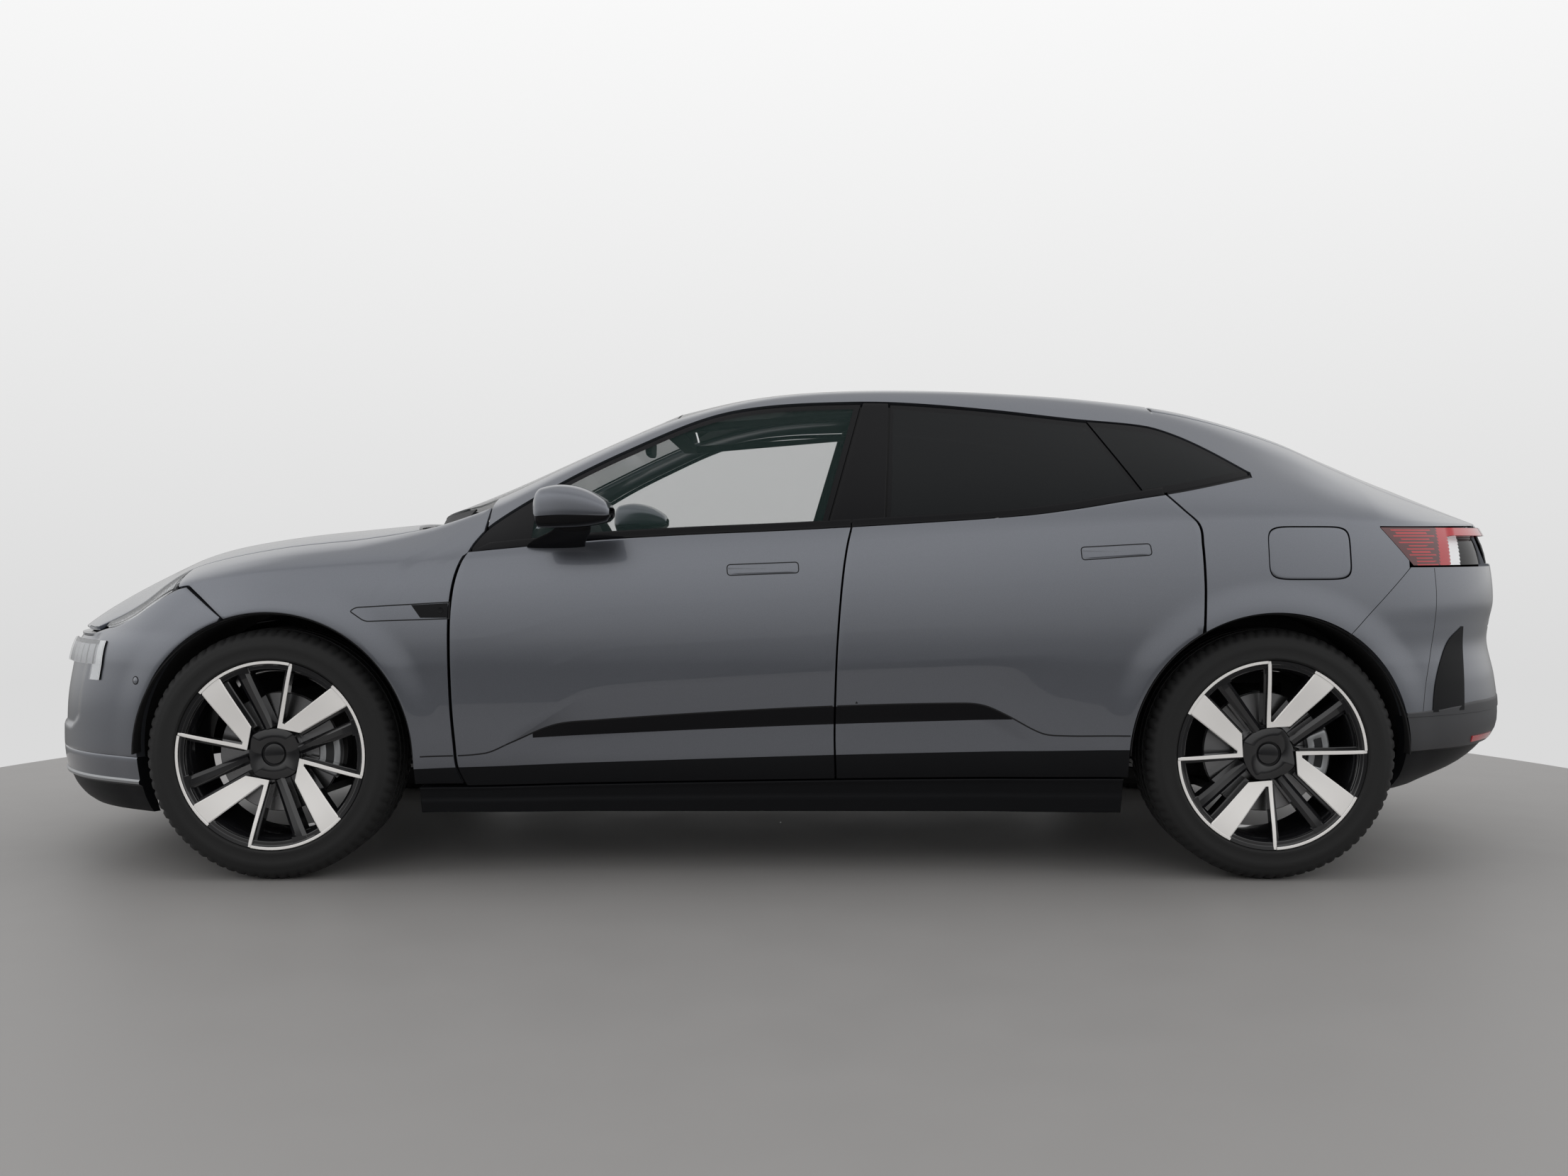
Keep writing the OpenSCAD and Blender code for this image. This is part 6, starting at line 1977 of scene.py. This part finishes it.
@dataclass
class Cabin(Assembly):
    """Seats, dashboard, console, steering wheel and the mirror under the roof."""

    @staticmethod
    def pillow(low: Sequence[float], high: Sequence[float], boxy: float, lean: float = 0.0,
               bolster: float = 0.0, axis: int = 2, crown: float = 0.0, seams: int = 0,
               rows: int = 49) -> Array:
        """Closed crowned form between two corners: a rounded box |x|^n + |y|^n + |z|^n = 1.

        Args:
            low, high: Corners.
            boxy: Power n of the form.
            lean: How far the top is shifted backwards.
            bolster: Height of the raised flanks.
            axis: Axis that the padded face looks along: 0 forwards, 2 upwards.
            crown: Height of the crown in the middle.
            seams: Number of sewn channels across.
            rows: Rows of the grid.

        Returns:
            Grid of points, closed at both poles.
        """
        A, B = lattice(np.linspace(-np.pi / 2, np.pi / 2, rows),
                       np.linspace(0, 2 * np.pi, 16 * (rows // 10) + 17))
        d = cloud(np.cos(A) * np.cos(B), np.cos(A) * np.sin(B), np.sin(A))
        p = d / np.sum(np.abs(d) ** boxy, -1, keepdims=True) ** (1 / boxy)
        flank = ease((np.abs(p[..., 1]) - 0.55) / 0.3)
        on = ease(p[..., axis] * 2)
        run = p[..., 2 if axis == 0 else 0]
        channel = np.exp(-(np.sin(np.pi * run * max(seams, 1)) / 0.16) ** 2)
        sewn = 5.0 * channel * (seams > 0) * (1 - flank)
        edge = 6.0 * np.exp(-((np.abs(p[..., 1]) - 0.58) / 0.035) ** 2)
        push = on * (bolster * flank + crown * (1 - p[..., 1] ** 2) - sewn - edge)
        lo, hi = np.asarray(low, float), np.asarray(high, float)
        q = (lo + hi) / 2 + p * (hi - lo) / 2
        q[..., axis] += push
        q[..., 0] -= lean * (q[..., 2] - lo[2]) / (hi[2] - lo[2])
        return q

    def pad(self, name: str, grid: Array, stands: Sequence[str] = (), insert: bool = True,
            mirror: bool = True, fill: float = 0.7) -> None:
        """Makes a cushion of a grid, with a cloth insert between its seams."""
        y = grid[..., 1]
        mid, half = (y.max() + y.min()) / 2, (y.max() - y.min()) / 2
        share = np.abs(middle(y) - mid) / half
        piece = Piece(name, "body", "seat", (self.look.leather, self.look.cloth), stands, 60.0)
        piece.sheet(grid, np.where((share < 0.57) & insert, 1, 0))
        if mirror:
            piece.mirror()
        piece.make()

    def build(self) -> None:
        """All furniture."""
        for name, shape, options in (
                ("seat_cushions", ((-70, 190, 445), (450, 630, 585), 5, 0, 26, 2, 8, 3),
                 {"stands": ["seats"]}),
                ("seat_backs", ((-150, 195, 545), (-20, 625, 1100), 5, 195, 30, 0, 8, 3), {}),
                ("head_rests", ((-392, 295, 1080), (-285, 525, 1255), 3.4, 20, 0, 0, 6),
                 {"insert": False}),
                ("bench_cushion", ((-885, -640, 440), (-370, 640, 595), 6, 0, 14, 2, 8, 3),
                 {"mirror": False}),
                ("bench_back", ((-985, -640, 565), (-850, 640, 1130), 6, 220, 16, 0, 8, 3),
                 {"mirror": False}),
                ("bench_rests", ((-1200, 270, 1085), (-1095, 500, 1205), 3.4, 20, 0, 0, 5),
                 {"insert": False})):
            self.pad(name, self.pillow(*shape), **options)
        base = Piece("seat_bases", "body", "cabin_trim", (self.look.trim, self.look.steel), (),
                     40.0)
        base.sheet(self.pillow((-50, 235, 335), (380, 585, 460), 8, rows=29))
        base.mirror()
        base.sheet(self.pillow((-890, -630, 330), (-400, 630, 480), 8, rows=29))
        base.make()
        self.dash()
        self.wheel()

    def dash(self) -> None:
        """Dashboard swept across the cabin, console, two displays and the inner mirror."""
        look = self.look
        loop = np.array([(1050, 930), (900, 938), (790, 925), (745, 900), (722, 850), (716, 790),
                         (724, 720), (760, 690), (900, 660), (1050, 655), (1058, 790),
                         (1050, 930)], float)
        x, z = (along(row)(span(67)) for row in loop.T)
        T, S = lattice(np.arange(67), np.concatenate([[-1.0001], np.linspace(-1, 1, 61), [1.0001]]))
        k = np.where(np.abs(S) > 1, 0.001, 1 - 0.05 * np.abs(S) ** 12)
        y = np.clip(S, -1, 1) * 690
        wave = 12 * np.cos(S * 4.2) * np.exp(-((z[T] - 880) / 50) ** 2) * (x[T] < 860)
        px, pz = mix(895.0, x[T], k) + wave * (np.abs(S) < 1), mix(800.0, z[T], k)
        dash = Piece("dashboard_form", "body", "cabin_trim", (look.trim, look.leather, look.gloss),
                     ["dashboard"], 40.0)
        tm = T[:-1, :-1] / 66
        dash.sheet(cloud(px, y, pz),
                   np.where((tm > 0.36) & (tm < 0.44), 2, np.where((tm > 0.44) & (tm < 0.6), 1, 0)))
        dash.sheet(self.pillow((-150, -118, 335), (735, 118, 690), 7, 0, 0, 2, 6, rows=29))
        dash.sheet(self.pillow((-150, -105, 655), (160, 105, 730), 4, 0, 0, 2, 6, rows=29), 1)
        dash.make()
        show = Piece("cabin_displays", "body", "cabin_trim", (look.gloss, look.display), (), 40.0)
        for y0, y1, z0, z1, at in ((255.0, 520.0, 915.0, 1010.0, 742.0),
                                   (-130.0, 190.0, 800.0, 985.0, 706.0)):
            u, v = lattice(np.array([0, 0.015, 0.03, 0.97, 0.985, 1.0]),
                           np.array([0, 0.02, 0.05, 0.95, 0.98, 1.0]))
            flat = cloud(at + mix(0.0, 22.0, v), mix(y0, y1, u), mix(z0, z1, v))
            a, b = u[:-1, :-1], v[:-1, :-1]
            inside = (a >= 0.015) & (a < 0.97) & (b >= 0.02) & (b < 0.95)
            show.slab(flat, flat + np.array([14.0, 0, 0]), inside, back=0)
        show.make()
        glass = Piece("inner_mirror", "body", "cabin_trim", (look.trim, look.mirror), (), 40.0)
        glass.sheet(self.pillow((452, -120, 1322), (480, 120, 1388), 4, rows=29))
        glass.sheet(self.pillow((470, -14, 1370), (500, 14, 1410), 3, rows=19))
        glass.make()

    def wheel(self) -> None:
        """Steering wheel: padded rim, boss and three spokes, tilted 24 degrees."""
        c = np.array([560.0, 380.0, 960.0])
        tilt = math.radians(24)
        e1, e2 = np.array([0.0, 1.0, 0.0]), np.array([math.sin(tilt), 0.0, math.cos(tilt)])
        axis = np.array([math.cos(tilt), 0.0, -math.sin(tilt)])
        A, B = lattice(np.linspace(0, 2 * np.pi, 97), np.linspace(0, 2 * np.pi, 25))
        grip = 15.0 + 1.6 * np.cos(6 * A)
        rho, off = 178 + grip * np.cos(B), grip * np.sin(B) * 1.15

        def place(r: Array, angle: Array, off: Array) -> Array:
            """Point at a radius and an angle in the wheel's plane, off along its axis."""
            across, up = (r * np.sin(angle))[..., None] * e1, (r * np.cos(angle))[..., None] * e2
            return c + across + up + off[..., None] * axis

        piece = Piece("steering_wheel_rim", "steering_wheel", "cabin_trim",
                      (self.look.leather, self.look.trim, self.look.caliper), ["steering_wheel"],
                      50.0)
        piece.sheet(place(rho, A, off))
        R, A = lattice(np.array([0.05, 40, 60, 66, 64, 40, 0.05]), np.linspace(0, 2 * np.pi, 65))
        o = np.array([-18, -16, -8, 4, 26, 34, 34.0])[:, None] + 0 * A
        piece.sheet(place(R * (1 - 0.08 * np.cos(2 * A)), A, o), 1)
        for at in (90.0, 270.0, 180.0):
            T, S = lattice(np.linspace(50, 172, 12), np.linspace(0, 2 * np.pi, 17))
            a = np.radians(at) + np.arctan2(mix(24.0, 17.0, (T - 50) / 122) * np.cos(S), T)
            piece.sheet(place(T, a, 6 * np.sin(S) + 6), 2)
        piece.make()


@dataclass
class Carried:
    """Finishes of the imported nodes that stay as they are."""
    look: Finishes

    def build(self) -> None:
        """Gives every node that no piece stands for a finish of its own kind."""
        look = self.look
        kinds = {"body_frame": look.seam, "floor_pan": look.satin, "battery_pack": look.steel,
                 "subframes": look.steel, "arch_liners": look.felt, "knuckle_left": look.steel,
                 "knuckle_right": look.steel}
        for name, finish in kinds.items():
            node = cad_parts[name]
            node.data.materials.clear()
            node.data.materials.append(finish)
            LOG.info("%s: carried over as %s", name, finish.name)


@dataclass
class Stage:
    """Round pale floor, white surround, soft lights and the camera."""
    reach: float = 3.78
    lens: float = 34.99
    sensor: float = 36.0
    camera_at: tuple[float, float, float] = (-0.0126, 5.505, 1.015)
    look_down: float = 1.707

    def build(self) -> None:
        """Floor, lights, surround and camera."""
        self.floor()
        self.world()
        self.lamp("softbox_over", (0.0, 0.0, 6.0), (0, 0, 0), (9.0, 4.0), 60)
        for x, y in ((8.5, 5.0), (-8.5, 5.0), (8.5, -5.0), (-8.5, -5.0)):
            self.lamp("corner_fill", (x, y, 3.2), (0, 0, 0.6), (4.0, 3.2), 36)
        self.lamp("fill_camera", (0.0, 9.0, 4.2), (0, 0, 0.6), (8.0, 4.0), 125)
        self.lamp("fill_far", (0.0, -9.0, 4.2), (0, 0, 0.6), (8.0, 4.0), 105)
        cam = bpy.data.cameras.new("photo_camera")
        cam.lens, cam.sensor_width = self.lens, self.sensor
        cam.clip_end = 200
        obj = bpy.data.objects.new("photo_camera", cam)
        obj.location = self.camera_at
        obj.rotation_euler = (math.radians(90 - self.look_down), 0, math.pi)
        bpy.context.scene.collection.objects.link(obj)
        bpy.context.scene.camera = obj
        bpy.context.scene.view_settings.view_transform = "Standard"

    def lamp(self, name: str, at: Sequence[float], to: Sequence[float], size: tuple[float, float],
             power: float) -> None:
        """Area light that looks at a point and isn't mirrored by paint or glass."""
        data = bpy.data.lights.new(name, "AREA")
        data.shape, data.size, data.size_y, data.energy = "RECTANGLE", size[0], size[1], power
        obj = bpy.data.objects.new(name, data)
        d = np.asarray(to, float) - np.asarray(at, float)
        flat = math.hypot(d[0], d[1])
        obj.location = at
        obj.visible_glossy = False
        obj.rotation_euler = (math.pi / 2 + math.atan2(d[2], flat) if flat > 1e-6 else 0.0, 0,
                              math.atan2(d[1], d[0]) - math.pi / 2 if flat > 1e-6 else 0.0)
        bpy.context.scene.collection.objects.link(obj)

    def floor(self) -> None:
        """Round floor slab."""
        t, k = lattice(np.linspace(0, 2 * np.pi, 129), np.linspace(0.0005, 1, 9))
        mesh = bpy.data.meshes.new("studio_floor")
        grid = cloud(self.reach * k * np.cos(t), self.reach * k * np.sin(t), 0 * t)
        nu, nv = grid.shape[:2]
        i = np.arange(nu * nv).reshape(nu, nv)
        faces = np.stack([i[:-1, :-1], i[:-1, 1:], i[1:, 1:], i[1:, :-1]], -1).reshape(-1, 4)
        mesh.from_pydata(grid.reshape(-1, 3).tolist(), [], faces.tolist())
        look = Finish("studio_floor", (0.285, 0.277, 0.272), (0.45, 0.6), 0.0, Grain.MOULDED, 40,
                      0.02, 0.03).build()
        mesh.materials.append(look)
        obj = bpy.data.objects.new("studio_floor", mesh)
        bpy.context.scene.collection.objects.link(obj)

    def world(self) -> None:
        """Surround: near white to the camera, a soft gradient to everything else.

        The gradient runs from horizon to zenith, a little brighter towards the vehicle's ends.
        """
        world = bpy.data.worlds.new("studio")
        world.use_nodes = True
        tree = world.node_tree
        back = tree.nodes["Background"]
        path, coord = tree.nodes.new("ShaderNodeLightPath"), tree.nodes.new("ShaderNodeTexCoord")
        split, ramp = tree.nodes.new("ShaderNodeSeparateXYZ"), tree.nodes.new("ShaderNodeValToRGB")
        lift = tree.nodes.new("ShaderNodeMapRange")
        lift.inputs["From Min"].default_value = -1.0
        tree.links.new(coord.outputs["Generated"], split.inputs[0])
        tree.links.new(split.outputs["Z"], lift.inputs["Value"])
        tree.links.new(lift.outputs["Result"], ramp.inputs["Fac"])
        stops = ramp.color_ramp.elements
        stops[0].position, stops[0].color = 0.45, (0.06, 0.06, 0.062, 1)
        stops[1].position, stops[1].color = 1.0, (0.8, 0.8, 0.8, 1)
        for at, level in ((0.49, 0.26), (0.52, 0.50), (0.62, 0.62), (0.75, 0.82), (0.83, 0.80),
                          (0.90, 0.58)):
            stops.new(at).color = (level, level, level * 1.02, 1)
        seen, blend = tree.nodes.new("ShaderNodeMath"), tree.nodes.new("ShaderNodeMix")
        seen.operation = "MAXIMUM"
        tree.links.new(path.outputs["Is Camera Ray"], seen.inputs[0])
        tree.links.new(path.outputs["Is Transmission Ray"], seen.inputs[1])
        blend.data_type = "RGBA"
        tree.links.new(seen.outputs[0], blend.inputs[0])
        ends, glow = tree.nodes.new("ShaderNodeMath"), tree.nodes.new("ShaderNodeMath")
        ends.operation, glow.operation = "MULTIPLY", "MULTIPLY_ADD"
        for socket in (0, 1):
            tree.links.new(split.outputs["X"], ends.inputs[socket])
        tree.links.new(ends.outputs[0], glow.inputs[0])
        glow.inputs[1].default_value = 0.30
        tree.links.new(ramp.outputs["Color"], glow.inputs[2])
        tree.links.new(glow.outputs[0], blend.inputs[6])
        wall = tree.nodes.new("ShaderNodeMapRange")
        for socket, value in (("From Min", -0.08), ("From Max", 0.34), ("To Min", 0.70),
                              ("To Max", 0.95)):
            wall.inputs[socket].default_value = value
        tree.links.new(split.outputs["Z"], wall.inputs["Value"])
        tree.links.new(wall.outputs["Result"], blend.inputs[7])
        tree.links.new(blend.outputs[2], back.inputs["Color"])
        bpy.context.scene.world = world


def main() -> None:
    """Builds the whole vehicle and its stage."""
    logging.basicConfig(level=logging.INFO, format="%(name)s: %(message)s")
    form, look = BodyForm(), Finishes()
    FrontWings(form, look).build()
    for rear in (False, True):
        for side in (1, -1):
            Door(form, look, rear, side).build()
    for kind in (SideFrames, Bonnet, Bumpers, Lamps, Glazing, Tailgate, Mirrors, Jambs, Cabin):
        kind(form, look).build()
    for end, axle, turn in (("front", form.axle_f, 15.5), ("rear", form.axle_r, 0.0)):
        for way, side in (("left", 1), ("right", -1)):
            Wheel(look, end[0] + way[0], "wheel_%s_%s" % (end, way), axle, side, turn).build()
    Calipers(form, look).build()
    Carried(look).build()
    Stage().build()


if __name__ == "__main__":
    main()
